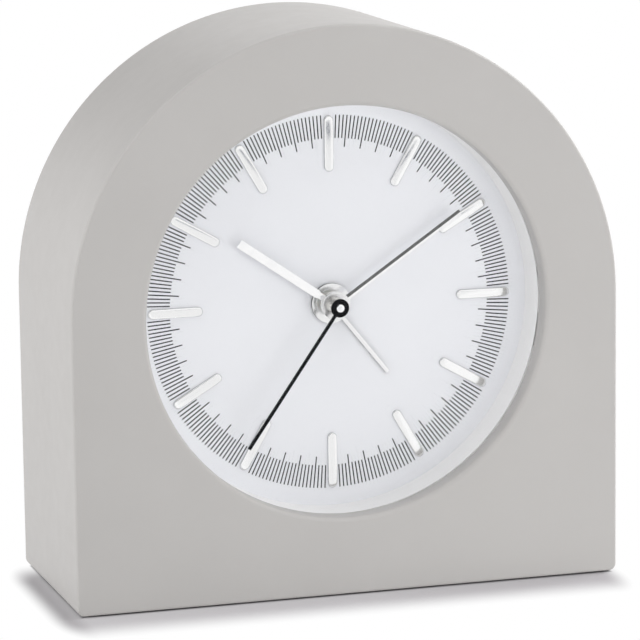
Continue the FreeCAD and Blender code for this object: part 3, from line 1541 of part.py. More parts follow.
PIECES = [
    case_block, base_pads, front_ring, lens, spacer_ring, dial, hour_markers, carrier_plate, carrier_screws,
    movement_gasket, threaded_bushing, bushing_nut, alarm_hand, hour_hand, minute_hand, minute_hand_collar,
    second_hand, second_hand_tube, movement_front_housing, middle_plate, movement_rear_housing, second_wheel,
    third_wheel, fifth_wheel, rotor, centre_wheel, hour_wheel, alarm_wheel, minute_work_wheel, time_set_shaft,
    alarm_set_shaft, time_knob, alarm_knob, rotor_magnet, stator, coil_bobbin, coil_winding, circuit_board,
    control_chip, quartz_crystal, alarm_contact_spring, rear_cover, cover_screws, battery_door, battery,
    battery_contact_plus, battery_contact_minus, buzzer, switch_body, alarm_switch_slider, battery_leads,
    buzzer_leads, switch_leads,
]

for piece in PIECES:
    piece()
doc.recompute()

for item in doc.Objects:
    if "Invalid" in item.State or "Error" in item.State:
        raise RuntimeError(f"{item.Label} failed: {item.State}")

labels = [piece.__name__ for piece in PIECES]
os.makedirs("parts", exist_ok=True)
shapes = {label: doc.getObjectsByLabel(label)[0].Shape for label in labels}
for label, shape in shapes.items():
    if shape.isNull() or not shape.isValid():
        raise RuntimeError(f"{label} has no valid shape")
for label, shape in shapes.items():
    shape.exportStep(f"parts/{label}.step")
    print(f"{label}: {len(shape.Solids)} solids, {shape.Volume:.1f} mm3")
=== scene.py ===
import math

import bmesh
import bpy
from mathutils import Matrix, Vector


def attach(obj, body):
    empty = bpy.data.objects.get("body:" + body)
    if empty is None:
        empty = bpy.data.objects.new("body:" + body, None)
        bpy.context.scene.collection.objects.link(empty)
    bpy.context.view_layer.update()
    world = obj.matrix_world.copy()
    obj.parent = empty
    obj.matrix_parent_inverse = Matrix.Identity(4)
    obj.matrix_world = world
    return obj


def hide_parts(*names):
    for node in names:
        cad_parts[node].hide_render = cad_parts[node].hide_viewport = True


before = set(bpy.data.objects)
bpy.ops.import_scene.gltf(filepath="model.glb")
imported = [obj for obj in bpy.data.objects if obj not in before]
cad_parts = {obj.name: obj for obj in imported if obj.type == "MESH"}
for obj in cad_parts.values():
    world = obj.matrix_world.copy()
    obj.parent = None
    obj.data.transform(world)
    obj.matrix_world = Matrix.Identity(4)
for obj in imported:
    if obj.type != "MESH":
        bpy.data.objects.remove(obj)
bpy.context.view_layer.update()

scene = bpy.context.scene
scene.view_settings.view_transform = "Standard"

# Case: a block of close-grained board with its round well, cavity and rear rebate milled in, all
# edges eased, sprayed in a matt light grey lacquer. It is the body that everything else sits in.
# Pieces are drawn in millimetres as seen from the front: X right, Y up, Z out of the dial's face.
metres = 0.001
dial_face_y = -14.5
hands_axis_z = 81.2
clock_place = (Matrix.Scale(metres, 4)
               @ Matrix.Translation((0.0, dial_face_y, hands_axis_z))
               @ Matrix.Rotation(math.radians(90.0), 4, "X"))
weld_distance = 0.0005
dial_centre = (0.0, 0.0, 0.0)
dial_axis = (0.0, 0.0, 1.0)

case_half_width = 80.0
case_base = -80.7
arch_centre = 1.3
case_front = 18.5
case_back = -47.5
case_corner = 2.0
case_edge = 0.8
case_edge_steps = 5
arch_steps = 120
corner_steps = 8
well_radius = 58.5
well_edge = 1.4
well_edge_steps = 6
lip_rear = 12.7
cavity_radius = 66.0
round_steps = 192
cover_seat = -35.5
rim_width = 7.0
rebate_corner = 4.0
rebate_edge = 0.3
rebate_edge_steps = 2


def new_edges(bm, known):
    """The edges drawn since a set of known edges was taken."""
    return [edge for edge in bm.edges if edge not in known]


def add_arc(bm, start, centre, degrees, steps):
    """Sweeps a point anticlockwise about a centre and gives the arc's last point."""
    swept = bmesh.ops.spin(bm, geom=[start], cent=centre, axis=dial_axis,
                           angle=math.radians(degrees), steps=steps,
                           use_merge=False, use_duplicate=False)
    return swept["geom_last"][0]


def arch_ring(bm, half_width, base, corner, level):
    """A closed round-topped outline with two rounded bottom corners."""
    known = set(bm.edges)
    right_top = bm.verts.new((half_width, arch_centre, level))
    left_top = add_arc(bm, right_top, (0.0, arch_centre, level), 180.0, arch_steps)
    left_low = bm.verts.new((-half_width, base + corner, level))
    bm.edges.new((left_top, left_low))
    base_left = add_arc(bm, left_low, (corner - half_width, base + corner, level), 90.0, corner_steps)
    base_right = bm.verts.new((half_width - corner, base, level))
    bm.edges.new((base_left, base_right))
    right_low = add_arc(bm, base_right, (half_width - corner, base + corner, level), 90.0, corner_steps)
    bm.edges.new((right_low, right_top))
    return new_edges(bm, known)


def round_ring(bm, radius, level):
    known = set(bm.edges)
    bmesh.ops.create_circle(bm, cap_ends=False, segments=round_steps, radius=radius,
                            matrix=Matrix.Translation((0.0, 0.0, level)))
    return new_edges(bm, known)


def join_rings(bm, rings):
    for ring, following in zip(rings, rings[1:]):
        bmesh.ops.bridge_loops(bm, edges=ring + following)


def fill_between(bm, outer, inner):
    bmesh.ops.triangle_fill(bm, use_beauty=True, use_dissolve=False, edges=outer + inner,
                            normal=dial_axis)


def easing(radius, steps):
    """Inset and drop of each step of a quarter round, from the face down to the wall."""
    turns = [math.radians(90.0) * step / steps for step in range(steps + 1)]
    return [(radius * (1.0 - math.sin(turn)), radius * (1.0 - math.cos(turn))) for turn in turns]


def keep_mesh(bm, name):
    """Keeps a drawn shape as a mesh."""
    mesh = bpy.data.meshes.new(name)
    bm.to_mesh(mesh)
    bm.free()
    return mesh


def add_object(name, data):
    """A new object of the scene."""
    thing = bpy.data.objects.new(name, data)
    scene.collection.objects.link(thing)
    return thing


def finish_piece(name, bm, finish, body, replaced=(), sharp_over=32.0):
    """Stands a drawn piece in the clock with its finish, and lets it ride on its body."""
    bmesh.ops.remove_doubles(bm, verts=bm.verts, dist=weld_distance)
    bmesh.ops.recalc_face_normals(bm, faces=bm.faces)
    bmesh.ops.transform(bm, matrix=clock_place, verts=bm.verts)
    mesh = keep_mesh(bm, name)
    mesh.shade_smooth()
    mesh.set_sharp_from_angle(angle=math.radians(sharp_over))
    mesh.materials.append(finish)
    piece = add_object(name, mesh)
    weighting = piece.modifiers.new("flat_faces_stay_flat", "WEIGHTED_NORMAL")
    weighting.keep_sharp = True
    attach(piece, body)
    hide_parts(*replaced)
    return piece


pattern_low = 0.3
pattern_high = 0.7


def new_finish(name, metallic=0.0):
    finish = bpy.data.materials.new(name)
    finish.use_nodes = True
    finish.node_tree.nodes["Principled BSDF"].inputs["Metallic"].default_value = metallic
    return finish


def set_gloss(finish, **levels):
    """Constant sockets of the finish, by their names with spaces written as underscores."""
    shader = finish.node_tree.nodes["Principled BSDF"]
    for socket, level in levels.items():
        shader.inputs[socket.replace("_", " ")].default_value = level


even = (1.0, 1.0, 1.0)


def cloud(finish, size, detail=3.0, stretch=even):
    """A cloudy pattern whose patches are about this many millimetres across."""
    nodes = finish.node_tree.nodes
    links = finish.node_tree.links
    place = nodes.new("ShaderNodeTexCoord")
    mapping = nodes.new("ShaderNodeMapping")
    mapping.inputs["Scale"].default_value = [share / (size * metres) for share in stretch]
    noise = nodes.new("ShaderNodeTexNoise")
    noise.inputs["Scale"].default_value = 1.0
    noise.inputs["Detail"].default_value = detail
    links.new(place.outputs["Object"], mapping.inputs["Vector"])
    links.new(mapping.outputs["Vector"], noise.inputs["Vector"])
    return noise.outputs["Fac"]


def colour_ramp(tree, pattern, stops):
    """Colours laid over a pattern; each stop is a place from 0 to 1 and a colour."""
    ramp = tree.nodes.new("ShaderNodeValToRGB")
    ramp.color_ramp.elements.remove(ramp.color_ramp.elements[1])
    for index, (place, colour) in enumerate(stops):
        stop = ramp.color_ramp.elements[0] if index == 0 else ramp.color_ramp.elements.new(place)
        stop.position = place
        stop.color = (*colour, 1.0)
    tree.links.new(pattern, ramp.inputs["Fac"])
    return ramp.outputs["Color"]


def graded(tree, value, start, end, at_start=0.0, at_end=1.0, kind="LINEAR"):
    """A level that runs from one end to the other while a value runs from start to end."""
    step = tree.nodes.new("ShaderNodeMapRange")
    step.interpolation_type = kind
    for socket, level in (("From Min", start), ("From Max", end), ("To Min", at_start), ("To Max", at_end)):
        step.inputs[socket].default_value = level
    tree.links.new(value, step.inputs["Value"])
    return step.outputs["Result"]


def colour_over(finish, pattern, stops):
    tree = finish.node_tree
    tree.links.new(colour_ramp(tree, pattern, stops), tree.nodes["Principled BSDF"].inputs["Base Color"])


def roughness_over(finish, pattern, low, high):
    tree = finish.node_tree
    tree.links.new(graded(tree, pattern, pattern_low, pattern_high, low, high),
                   tree.nodes["Principled BSDF"].inputs["Roughness"])


def relief_over(finish, patterns):
    """Bumps of the surface, one over another; each has its height in millimetres."""
    nodes = finish.node_tree.nodes
    links = finish.node_tree.links
    below = None
    for pattern, height in patterns:
        bump = nodes.new("ShaderNodeBump")
        bump.inputs["Strength"].default_value = 1.0
        bump.inputs["Distance"].default_value = height * metres
        links.new(pattern, bump.inputs["Height"])
        if below is not None:
            links.new(below, bump.inputs["Normal"])
        below = bump.outputs["Normal"]
    links.new(below, nodes["Principled BSDF"].inputs["Normal"])


def add_surface(finish, roughness, gloss_patch, gloss_patch_stretch=even, grain=None, grain_height=None,
                grain_detail=3.0, grain_stretch=even, fine_grain=None, fine_grain_detail=3.0,
                fine_height=None):
    """Uneven gloss and a grain; patches and heights in millimetres."""
    gloss_cloud = cloud(finish, gloss_patch, stretch=gloss_patch_stretch)
    roughness_over(finish, gloss_cloud, roughness[0], roughness[1])
    grains = []
    if grain:
        grains.append((cloud(finish, grain, grain_detail, grain_stretch), grain_height))
    if fine_grain:
        grains.append((cloud(finish, fine_grain, fine_grain_detail), fine_height))
    if grains:
        relief_over(finish, grains)


def make_finish(name, dark, light, patch, metallic=0.0, turn=(0.35, 0.65), patch_detail=3.0,
                patch_stretch=even, **surface):
    """A finish whose colour clouds from dark to light, with the surface of add_surface."""
    finish = new_finish(name, metallic)
    colour_over(finish, cloud(finish, patch, patch_detail, patch_stretch),
                [(turn[0], dark), (turn[1], light)])
    add_surface(finish, **surface)
    return finish


lacquer_grey = (0.476, 0.463, 0.452)
lacquer_shade = (0.464, 0.451, 0.440)
lacquer = make_finish(
    "case_lacquer", dark=lacquer_shade, light=lacquer_grey, patch=34.0, patch_detail=4.0,
    roughness=(0.44, 0.52), gloss_patch=5.0, grain=1.3, grain_detail=1.0, grain_height=0.006,
    fine_grain=0.18, fine_grain_detail=2.0, fine_height=0.0012)
set_gloss(lacquer, IOR=1.45)

case = bmesh.new()
outside = []
for inset, drop in easing(case_edge, case_edge_steps):
    outside.append(arch_ring(case, case_half_width - inset, case_base + inset, case_corner - inset,
                             case_front - drop))
for inset, drop in reversed(easing(case_edge, case_edge_steps)):
    outside.append(arch_ring(case, case_half_width - inset, case_base + inset, case_corner - inset,
                             case_back + drop))
join_rings(case, outside)
inside = [round_ring(case, well_radius + inset, case_front - drop)
          for inset, drop in easing(well_edge, well_edge_steps)]
inside.append(round_ring(case, well_radius, lip_rear))
inside.append(round_ring(case, cavity_radius, lip_rear))
inside.append(round_ring(case, cavity_radius, cover_seat))
join_rings(case, inside)
rebate_half = case_half_width - rim_width
rebate_base = case_base + rim_width
rebate = [arch_ring(case, rebate_half, rebate_base, rebate_corner, cover_seat)]
for inset, drop in reversed(easing(rebate_edge, rebate_edge_steps)):
    rebate.append(arch_ring(case, rebate_half + inset, rebate_base - inset, rebate_corner + inset,
                            case_back + drop))
join_rings(case, rebate)
join_rings(case, [rebate[-1], outside[-1]])
fill_between(case, outside[0], inside[0])
fill_between(case, rebate[0], inside[-1])
finish_piece("case", case, lacquer, "clock", ["case_block"])

# Base pads: four soft rubber discs half sunk in the base. They carry the clock, and from the front
# they only show as the thin dark line under it.


def finish_nodes(finish, *names):
    """Gives a finish to pieces whose shape comes straight from the frame."""
    for name in names:
        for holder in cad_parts[name].material_slots:
            holder.material = finish


rubber = make_finish(
    "black_rubber", dark=(0.014, 0.014, 0.015), light=(0.030, 0.029, 0.028), turn=(0.3, 0.7),
    patch=1.5, roughness=(0.68, 0.86), gloss_patch=0.6, grain=0.3, grain_height=0.02)
finish_nodes(rubber, "base_pads", "movement_gasket")

# Lens seat: a white moulded ring behind the case lip, a clear flat lens dropped into it, and a white
# ring wall that holds the lens off the dial. The carrier plate behind is the same white plastic.
ring_white = (0.950, 0.945, 0.940)
ring_shade = (0.935, 0.930, 0.925)
white_plastic = make_finish(
    "white_plastic", dark=ring_shade, light=ring_white, patch=9.0, roughness=(0.38, 0.5),
    gloss_patch=2.0, grain=0.25, grain_height=0.003)
finish_nodes(white_plastic, "front_ring", "spacer_ring", "carrier_plate")

lens_opacity = 0.03
clear_lens = make_finish(
    "clear_lens", dark=(0.93, 0.94, 0.95), light=(0.97, 0.98, 0.98), turn=(0.4, 0.6), patch=20.0,
    roughness=(0.02, 0.05), gloss_patch=6.0)
set_gloss(clear_lens, Alpha=lens_opacity, IOR=1.49, Transmission_Weight=1.0)
finish_nodes(clear_lens, "lens")

# Dial: a thin metal disc sprayed in a cool silky white. It is clamped between the ring wall and the
# carrier plate.
dial_white = (0.853, 0.862, 0.896)
dial_shade = (0.843, 0.852, 0.886)
dial_paint = make_finish(
    "dial_paint", dark=dial_shade, light=dial_white, patch=24.0, roughness=(0.42, 0.54),
    gloss_patch=1.2, grain=0.12, grain_height=0.0012)
finish_nodes(dial_paint, "dial")

# Minute track: black ink printed on the dial, five divisions to the minute. The division at each
# hour and its two neighbours are left out for the batons.
track_outer = 53.8
short_inner = 47.2
long_inner = 44.7
tick_width = 0.34
ink_thickness = 0.02
ink_sink = 0.01
divisions = 300
divisions_per_hour = 25
divisions_per_minute = 5
left_out = (0, 1, divisions_per_hour - 1)

ink = make_finish(
    "printing_ink", dark=(0.005, 0.005, 0.006), light=(0.009, 0.009, 0.011), turn=(0.3, 0.7),
    patch=0.8, roughness=(0.4, 0.6), gloss_patch=0.3, grain=0.1, grain_height=0.002)
set_gloss(ink, Specular_IOR_Level=0.05)

track = bmesh.new()
for division in range(divisions):
    if division % divisions_per_hour in left_out:
        continue
    inner = short_inner if division % divisions_per_minute else long_inner
    clockwise = -math.tau * division / divisions
    middle = (0.0, (track_outer + inner) / 2.0, (ink_thickness - ink_sink) / 2.0)
    tick = (Matrix.Rotation(clockwise, 4, "Z") @ Matrix.Translation(middle)
            @ Matrix.Diagonal((tick_width, track_outer - inner, ink_thickness + ink_sink, 1.0)))
    bmesh.ops.create_cube(track, size=1.0, matrix=tick)
finish_piece("minute_track", track, ink, "clock")

# Hour batons: twelve stadium-shaped bars of brass, crowned, polished and plated, each riveted
# through the dial.
baton_count = 12
baton_inner = 37.7
baton_outer = 53.7
baton_half_width = 1.35
baton_wall = 0.5
baton_shoulder = 0.32
baton_shoulder_rise = 0.26
baton_shoulder_steps = 4
baton_crown = 0.03
baton_crown_steps = 5
last_crown_step = 0.5
baton_end_drop = 0.11
baton_cuts = 8
baton_end_steps = 14

polish_bright = (0.97, 0.97, 0.97)
polish_shade = (0.93, 0.932, 0.936)
polished_plate = make_finish(
    "polished_plate", metallic=1.0, dark=polish_shade, light=polish_bright, patch=2.5,
    roughness=(0.07, 0.13), gloss_patch=0.5, grain=0.15, grain_detail=2.0, grain_height=0.0002)


# Painted shade: the batons' plate is coloured darker below this height, for the shade and dark reflections
# along each baton's foot.
foot_height = 0.6
foot_soft = 0.08
foot_painted_shade = (0.58, 0.585, 0.60)


def object_axis(tree, axis):
    """How far along one axis of the piece a point lies."""
    place = tree.nodes.new("ShaderNodeTexCoord")
    axes = tree.nodes.new("ShaderNodeSeparateXYZ")
    tree.links.new(place.outputs["Object"], axes.inputs["Vector"])
    return axes.outputs[axis]


def painted_shade_below(finish, level, soft, shade):
    """Paints shade on plate near the dial: darker colour below a level, for the shade and dark reflections
    at a piece's foot.
    """
    rise = graded(finish.node_tree, object_axis(finish.node_tree, "Y"),
                  (dial_face_y - level + soft) * metres, (dial_face_y - level - soft) * metres)
    colour_over(finish, rise, [(0.0, shade), (1.0, polish_bright)])


baton_plate = new_finish("baton_plate", metallic=1.0)
painted_shade_below(baton_plate, foot_height, foot_soft, foot_painted_shade)
add_surface(baton_plate, roughness=(0.06, 0.12), gloss_patch=0.5, grain=0.15, grain_detail=2.0,
            grain_height=0.0002)


def cut_across(bm, point, direction):
    """New edges where a plane crosses a shape."""
    bmesh.ops.bisect_plane(bm, geom=bm.verts[:] + bm.edges[:] + bm.faces[:], plane_co=point,
                           plane_no=direction)


def stadium_ring(bm, half_width, level):
    """A closed outline round the baton's two end centres."""
    known = set(bm.edges)
    high = baton_outer - baton_half_width
    low = baton_inner + baton_half_width
    right_high = bm.verts.new((half_width, high, level))
    left_high = add_arc(bm, right_high, (0.0, high, level), 180.0, baton_end_steps)
    left_low = bm.verts.new((-half_width, low, level))
    bm.edges.new((left_high, left_low))
    right_low = add_arc(bm, left_low, (0.0, low, level), 180.0, baton_end_steps)
    bm.edges.new((right_low, right_high))
    return new_edges(bm, known)


baton = bmesh.new()
rings = [stadium_ring(baton, baton_half_width, 0.0)]
shoulder_top = baton_wall + baton_shoulder_rise
for inset, drop in reversed(easing(1.0, baton_shoulder_steps)):
    rings.append(stadium_ring(baton, baton_half_width - inset * baton_shoulder,
                              shoulder_top - drop * baton_shoulder_rise))
crown_half = baton_half_width - baton_shoulder
for step in range(1, baton_crown_steps + 1):
    share = 1.0 - step / (baton_crown_steps + last_crown_step)
    rings.append(stadium_ring(baton, crown_half * share, shoulder_top + baton_crown * (1.0 - share ** 2)))
join_rings(baton, rings)
bmesh.ops.holes_fill(baton, edges=rings[0] + rings[-1], sides=0)
baton_middle = (baton_outer + baton_inner) / 2.0
baton_half_length = (baton_outer - baton_inner) / 2.0
for cut in range(1, baton_cuts):
    at = baton_inner + 2.0 * baton_half_length * cut / baton_cuts
    cut_across(baton, (0.0, at, 0.0), (0.0, 1.0, 0.0))
for vert in baton.verts:
    if vert.co.z > baton_wall:
        vert.co.z -= baton_end_drop * ((vert.co.y - baton_middle) / baton_half_length) ** 2


def add_copy(bm, mesh, turn):
    """Adds a copy of a mesh turned about the dial's axis, and gives its points."""
    before = set(bm.verts)
    bm.from_mesh(mesh)
    fresh = [vert for vert in bm.verts if vert not in before]
    bmesh.ops.rotate(bm, verts=fresh, cent=dial_centre, matrix=Matrix.Rotation(turn, 3, "Z"))
    return fresh


baton_mesh = keep_mesh(baton, "one_baton")
batons = bmesh.new()
for hour in range(baton_count):
    add_copy(batons, baton_mesh, -math.tau * hour / baton_count)
bpy.data.meshes.remove(baton_mesh)
finish_piece("hour_batons", batons, baton_plate, "clock", ["hour_markers"])

# Alarm hand: the lowest hand, a slim flat pointer stamped in one piece with its disc and plated.
# It is pushed on the alarm pipe and only moves with its own knob.
turn_steps = 64
alarm_low = 0.7
alarm_top = 1.1
alarm_disc_radius = 5.75
alarm_bore = 3.31
alarm_width = 1.2
alarm_length = 26.9
alarm_angle = 141.4
alarm_edge = 0.12
alarm_overlap = 0.6
square_corner = 60.0
alarm_rim_low = 0.12
alarm_rim_width = 0.3
# Painted shade: the alarm hand is coloured near black below this level, for the dark shaded outline round
# its disc's rim and the pointer's edges.
alarm_shade_level = 1.02
alarm_shade_soft = 0.04
alarm_rim_painted_shade = (0.05, 0.05, 0.055)


def turned(bm, outline):
    """Spins a closed outline of radius and level about the axis of the hands."""
    corners = [bm.verts.new((radius, 0.0, level)) for radius, level in outline]
    chain = [bm.edges.new(pair) for pair in zip(corners, corners[1:] + corners[:1])]
    bmesh.ops.spin(bm, geom=corners + chain, cent=dial_centre, axis=dial_axis,
                   angle=math.tau, steps=turn_steps, use_merge=True, use_duplicate=False)


def soften_edges(bm, size, over):
    """A small round on every edge that is bent by more than this many degrees."""
    bent = [edge for edge in bm.edges
            if len(edge.link_faces) == 2 and edge.calc_face_angle(0.0) > math.radians(over)]
    bmesh.ops.bevel(bm, geom=bent, offset=size, offset_type="OFFSET", segments=2, profile=0.5,
                    affect="EDGES", clamp_overlap=True, material=-1)


def turn_to(bm, degrees):
    """Turns a piece clockwise from twelve o'clock."""
    bmesh.ops.rotate(bm, verts=bm.verts, cent=dial_centre,
                     matrix=Matrix.Rotation(math.radians(-degrees), 3, "Z"))


def add_bar(bm, width, start, end, low, top):
    middle = (0.0, (start + end) / 2.0, (low + top) / 2.0)
    bmesh.ops.create_cube(bm, size=1.0, matrix=Matrix.Translation(middle)
                          @ Matrix.Diagonal((width, end - start, top - low, 1.0)))


# The satin plate carries the painted shade below the alarm level.
satin_plate = new_finish("satin_plate", metallic=1.0)
painted_shade_below(satin_plate, alarm_shade_level, alarm_shade_soft, alarm_rim_painted_shade)
add_surface(satin_plate, roughness=(0.15, 0.21), gloss_patch=0.5, grain=0.15, grain_detail=2.0,
            grain_height=0.0001)

alarm_hand = bmesh.new()
add_bar(alarm_hand, alarm_width, alarm_disc_radius - alarm_overlap, alarm_length, alarm_low, alarm_top)
turned(alarm_hand, [(alarm_bore, alarm_low), (alarm_disc_radius - alarm_rim_width, alarm_low),
                    (alarm_disc_radius - alarm_rim_width, alarm_rim_low), (alarm_disc_radius, alarm_rim_low),
                    (alarm_disc_radius, alarm_top), (alarm_bore, alarm_top)])
bmesh.ops.recalc_face_normals(alarm_hand, faces=alarm_hand.faces)
soften_edges(alarm_hand, alarm_edge, square_corner)
turn_to(alarm_hand, alarm_angle)
finish_piece("alarm_hand_plated", alarm_hand, satin_plate, "alarm", ["alarm_hand"])

# Hour and minute hands: brass blades with a ridge along the middle and a square tip, necked at the
# root, polished and plated. Each is riveted to its hub disc, which is left satin, and pushed on its pipe.
hour_low = 2.9
hour_hub_radius = 3.75
hour_bore = 2.41
hour_width = 2.5
hour_length = 33.5
hour_angle = 304.8
hour_neck_width = 1.7
hour_neck_end = 5.1
hour_shoulder_end = 5.8
minute_low = 5.4
minute_hub_radius = 4.1
minute_bore = 1.46
minute_width = 1.7
minute_length = 44.8
minute_angle = 56.2
minute_neck_width = 1.5
minute_neck_end = 3.8
minute_shoulder_end = 4.3
blade_edge_height = 0.3
blade_ridge_height = 0.65
blade_soft_edge = 0.05
blade_corner = 15.0
blade_overlap = 0.9
blade_sharp_over = 12.0
hub_rim = 0.7
hub_step = 0.07
satin_radius = 4.3
satin_soft = 0.1
satin_roughness = 0.27

hand_plate = make_finish(
    "hand_plate", metallic=1.0, dark=polish_shade, light=polish_bright, patch=2.5,
    roughness=(0.07, 0.13), gloss_patch=0.5, grain=0.15, grain_detail=2.0, grain_height=0.0002)


def satin_near_axis(finish, radius, soft, roughness):
    """Raises the roughness of a finish within a radius of the hands' axis."""
    nodes = finish.node_tree.nodes
    links = finish.node_tree.links
    place = nodes.new("ShaderNodeTexCoord")
    shift = nodes.new("ShaderNodeMapping")
    shift.inputs["Location"].default_value = (0.0, 0.0, -hands_axis_z * metres)
    shift.inputs["Scale"].default_value = (1.0, 0.0, 1.0)
    reach = nodes.new("ShaderNodeVectorMath")
    reach.operation = "LENGTH"
    higher = nodes.new("ShaderNodeMath")
    higher.operation = "MAXIMUM"
    socket = nodes["Principled BSDF"].inputs["Roughness"]
    links.new(place.outputs["Object"], shift.inputs["Vector"])
    links.new(shift.outputs["Vector"], reach.inputs[0])
    links.new(graded(finish.node_tree, reach.outputs["Value"], (radius - soft) * metres,
                     (radius + soft) * metres, roughness, 0.0), higher.inputs[0])
    links.new(socket.links[0].from_socket, higher.inputs[1])
    links.new(higher.outputs["Value"], socket)


satin_near_axis(hand_plate, satin_radius, satin_soft, satin_roughness)


def ridged_blade(bm, width, start, length, low, neck_width, neck_end, shoulder_end):
    """A blade with a ridge along its middle and a narrower neck at its root."""
    add_bar(bm, width, start, length, low, low + blade_edge_height)
    cut_across(bm, dial_centre, (1.0, 0.0, 0.0))
    cut_across(bm, (0.0, neck_end, 0.0), (0.0, 1.0, 0.0))
    cut_across(bm, (0.0, shoulder_end, 0.0), (0.0, 1.0, 0.0))
    for vert in bm.verts:
        on_ridge = abs(vert.co.x) < weld_distance and vert.co.z > low + weld_distance
        if on_ridge:
            vert.co.z = low + blade_ridge_height
        if vert.co.y < neck_end + weld_distance:
            vert.co.x *= neck_width / width
    soften_edges(bm, blade_soft_edge, blade_corner)


def hub_disc(bm, bore, radius, low):
    top = low + blade_ridge_height
    turned(bm, [(bore, low), (radius, low), (radius, top - hub_step), (radius - hub_step, top),
                (radius - hub_rim, top), (radius - hub_rim - hub_step, top - hub_step),
                (bore, top - hub_step)])


hour_hand = bmesh.new()
ridged_blade(hour_hand, hour_width, hour_hub_radius - blade_overlap, hour_length, hour_low,
             hour_neck_width, hour_neck_end, hour_shoulder_end)
hub_disc(hour_hand, hour_bore, hour_hub_radius, hour_low)
turn_to(hour_hand, hour_angle)
finish_piece("hour_hand_plated", hour_hand, hand_plate, "hour",
             ["hour_hand"], blade_sharp_over)

minute_hand = bmesh.new()
ridged_blade(minute_hand, minute_width, minute_hub_radius - blade_overlap, minute_length, minute_low,
             minute_neck_width, minute_neck_end, minute_shoulder_end)
hub_disc(minute_hand, minute_bore, minute_hub_radius, minute_low)
turn_to(minute_hand, minute_angle)
finish_piece("minute_hand_plated", minute_hand, hand_plate, "minute",
             ["minute_hand"], blade_sharp_over)

# Collar: a drawn cup closed round the second hand's tube. It stands on the minute hand and turns
# with it; its wall keeps the fine lines of the drawing die.
collar_low = 5.98
collar_top = 8.5
collar_radius = 2.35
collar_inner = 1.65
collar_mouth = 1.3
collar_shoulder = 7.8
collar_edge = 0.18

drawn_metal = make_finish(
    "drawn_metal", metallic=1.0, dark=(0.60, 0.585, 0.555), light=(0.82, 0.81, 0.785), patch=0.35,
    patch_stretch=(1.0, 0.05, 1.0), roughness=(0.2, 0.34), gloss_patch=0.3, grain=0.12,
    grain_detail=2.0, grain_stretch=(1.0, 0.05, 1.0), grain_height=0.002)

collar = bmesh.new()
turned(collar, [(collar_inner, collar_low), (collar_radius, collar_low),
                (collar_radius, collar_top - collar_edge), (collar_radius - collar_edge, collar_top),
                (collar_mouth, collar_top), (collar_mouth, collar_shoulder),
                (collar_inner, collar_shoulder)])
finish_piece("collar_drawn", collar, drawn_metal, "minute", ["minute_hand_collar"])

# Second hand: a flat ring and a thin pointer with no tail, stamped and painted gloss black. A
# bright tube with a rounded end carries it on the second arbor.
second_low = 9.2
second_top = 9.6
second_ring_radius = 2.65
second_bore = 1.21
second_width = 1.0
second_length = 47.4
second_angle = 215.2
second_edge = 0.07
second_overlap = 0.4
tube_radius = 1.2
tube_low = 6.7
tube_top = 10.0
tube_bore = 0.51
tube_bore_end = 9.4
tube_edge = 0.25
tube_edge_share = 0.3
tube_dimple = 0.3

black_paint = make_finish(
    "black_paint", dark=(0.005, 0.005, 0.006), light=(0.009, 0.009, 0.010), turn=(0.3, 0.7),
    patch=1.5, roughness=(0.3, 0.42), gloss_patch=0.4, grain=0.5, grain_detail=1.0,
    grain_height=0.002)
set_gloss(black_paint, Specular_IOR_Level=0.06)

second_hand = bmesh.new()
add_bar(second_hand, second_width, second_ring_radius - second_overlap, second_length,
        second_low, second_top)
turned(second_hand, [(second_bore, second_low), (second_ring_radius, second_low),
                     (second_ring_radius, second_top), (second_bore, second_top)])
bmesh.ops.recalc_face_normals(second_hand, faces=second_hand.faces)
soften_edges(second_hand, second_edge, square_corner)
turn_to(second_hand, second_angle)
finish_piece("second_hand_painted", second_hand, black_paint, "second", ["second_hand"])

tube = bmesh.new()
turned(tube, [(tube_bore, tube_low), (tube_radius, tube_low), (tube_radius, tube_top - tube_edge),
              (tube_radius - tube_edge * tube_edge_share, tube_top - tube_edge * tube_edge_share),
              (tube_radius - tube_edge, tube_top), (tube_dimple, tube_top),
              (0.0, tube_top - tube_dimple), (0.0, tube_bore_end), (tube_bore, tube_bore_end)])
finish_piece("second_tube_bright", tube, polished_plate, "second", ["second_hand_tube"])

# Centre fixing: a threaded brass bushing through the carrier, with its hexagon nut, both turned
# from rod. Four long steel screws tie the carrier and the front ring to the case lip.
turned_brass = make_finish(
    "turned_brass", metallic=1.0, dark=(0.68, 0.50, 0.22), light=(0.80, 0.62, 0.31), patch=1.2,
    roughness=(0.2, 0.34), gloss_patch=0.5, grain=0.2, grain_detail=1.0,
    grain_stretch=(0.2, 4.0, 0.2), grain_height=0.004)
finish_nodes(turned_brass, "threaded_bushing", "bushing_nut")

screw_steel = make_finish(
    "screw_steel", metallic=1.0, dark=(0.42, 0.42, 0.41), light=(0.60, 0.60, 0.59), patch=1.0,
    roughness=(0.28, 0.42), gloss_patch=0.4, grain=0.25, grain_height=0.004)
finish_nodes(screw_steel, "carrier_screws")

# Movement housing: two black mouldings clipped together round a stamped brass bearing plate.
housing_plastic = make_finish(
    "housing_plastic", dark=(0.018, 0.018, 0.019), light=(0.028, 0.028, 0.030), turn=(0.3, 0.7),
    patch=5.0, roughness=(0.36, 0.5), gloss_patch=1.5, grain=0.3, grain_height=0.006)
finish_nodes(housing_plastic, "movement_front_housing", "movement_rear_housing", "switch_body")

brass_sheet = make_finish(
    "brass_sheet", metallic=1.0, dark=(0.70, 0.53, 0.25), light=(0.83, 0.66, 0.36), patch=3.0,
    patch_detail=4.0, patch_stretch=(0.1, 1.0, 1.0), roughness=(0.24, 0.38), gloss_patch=0.6,
    gloss_patch_stretch=(0.1, 1.0, 1.0), grain=0.15, grain_detail=2.0,
    grain_stretch=(0.05, 1.0, 1.0), grain_height=0.002)
finish_nodes(brass_sheet, "middle_plate")

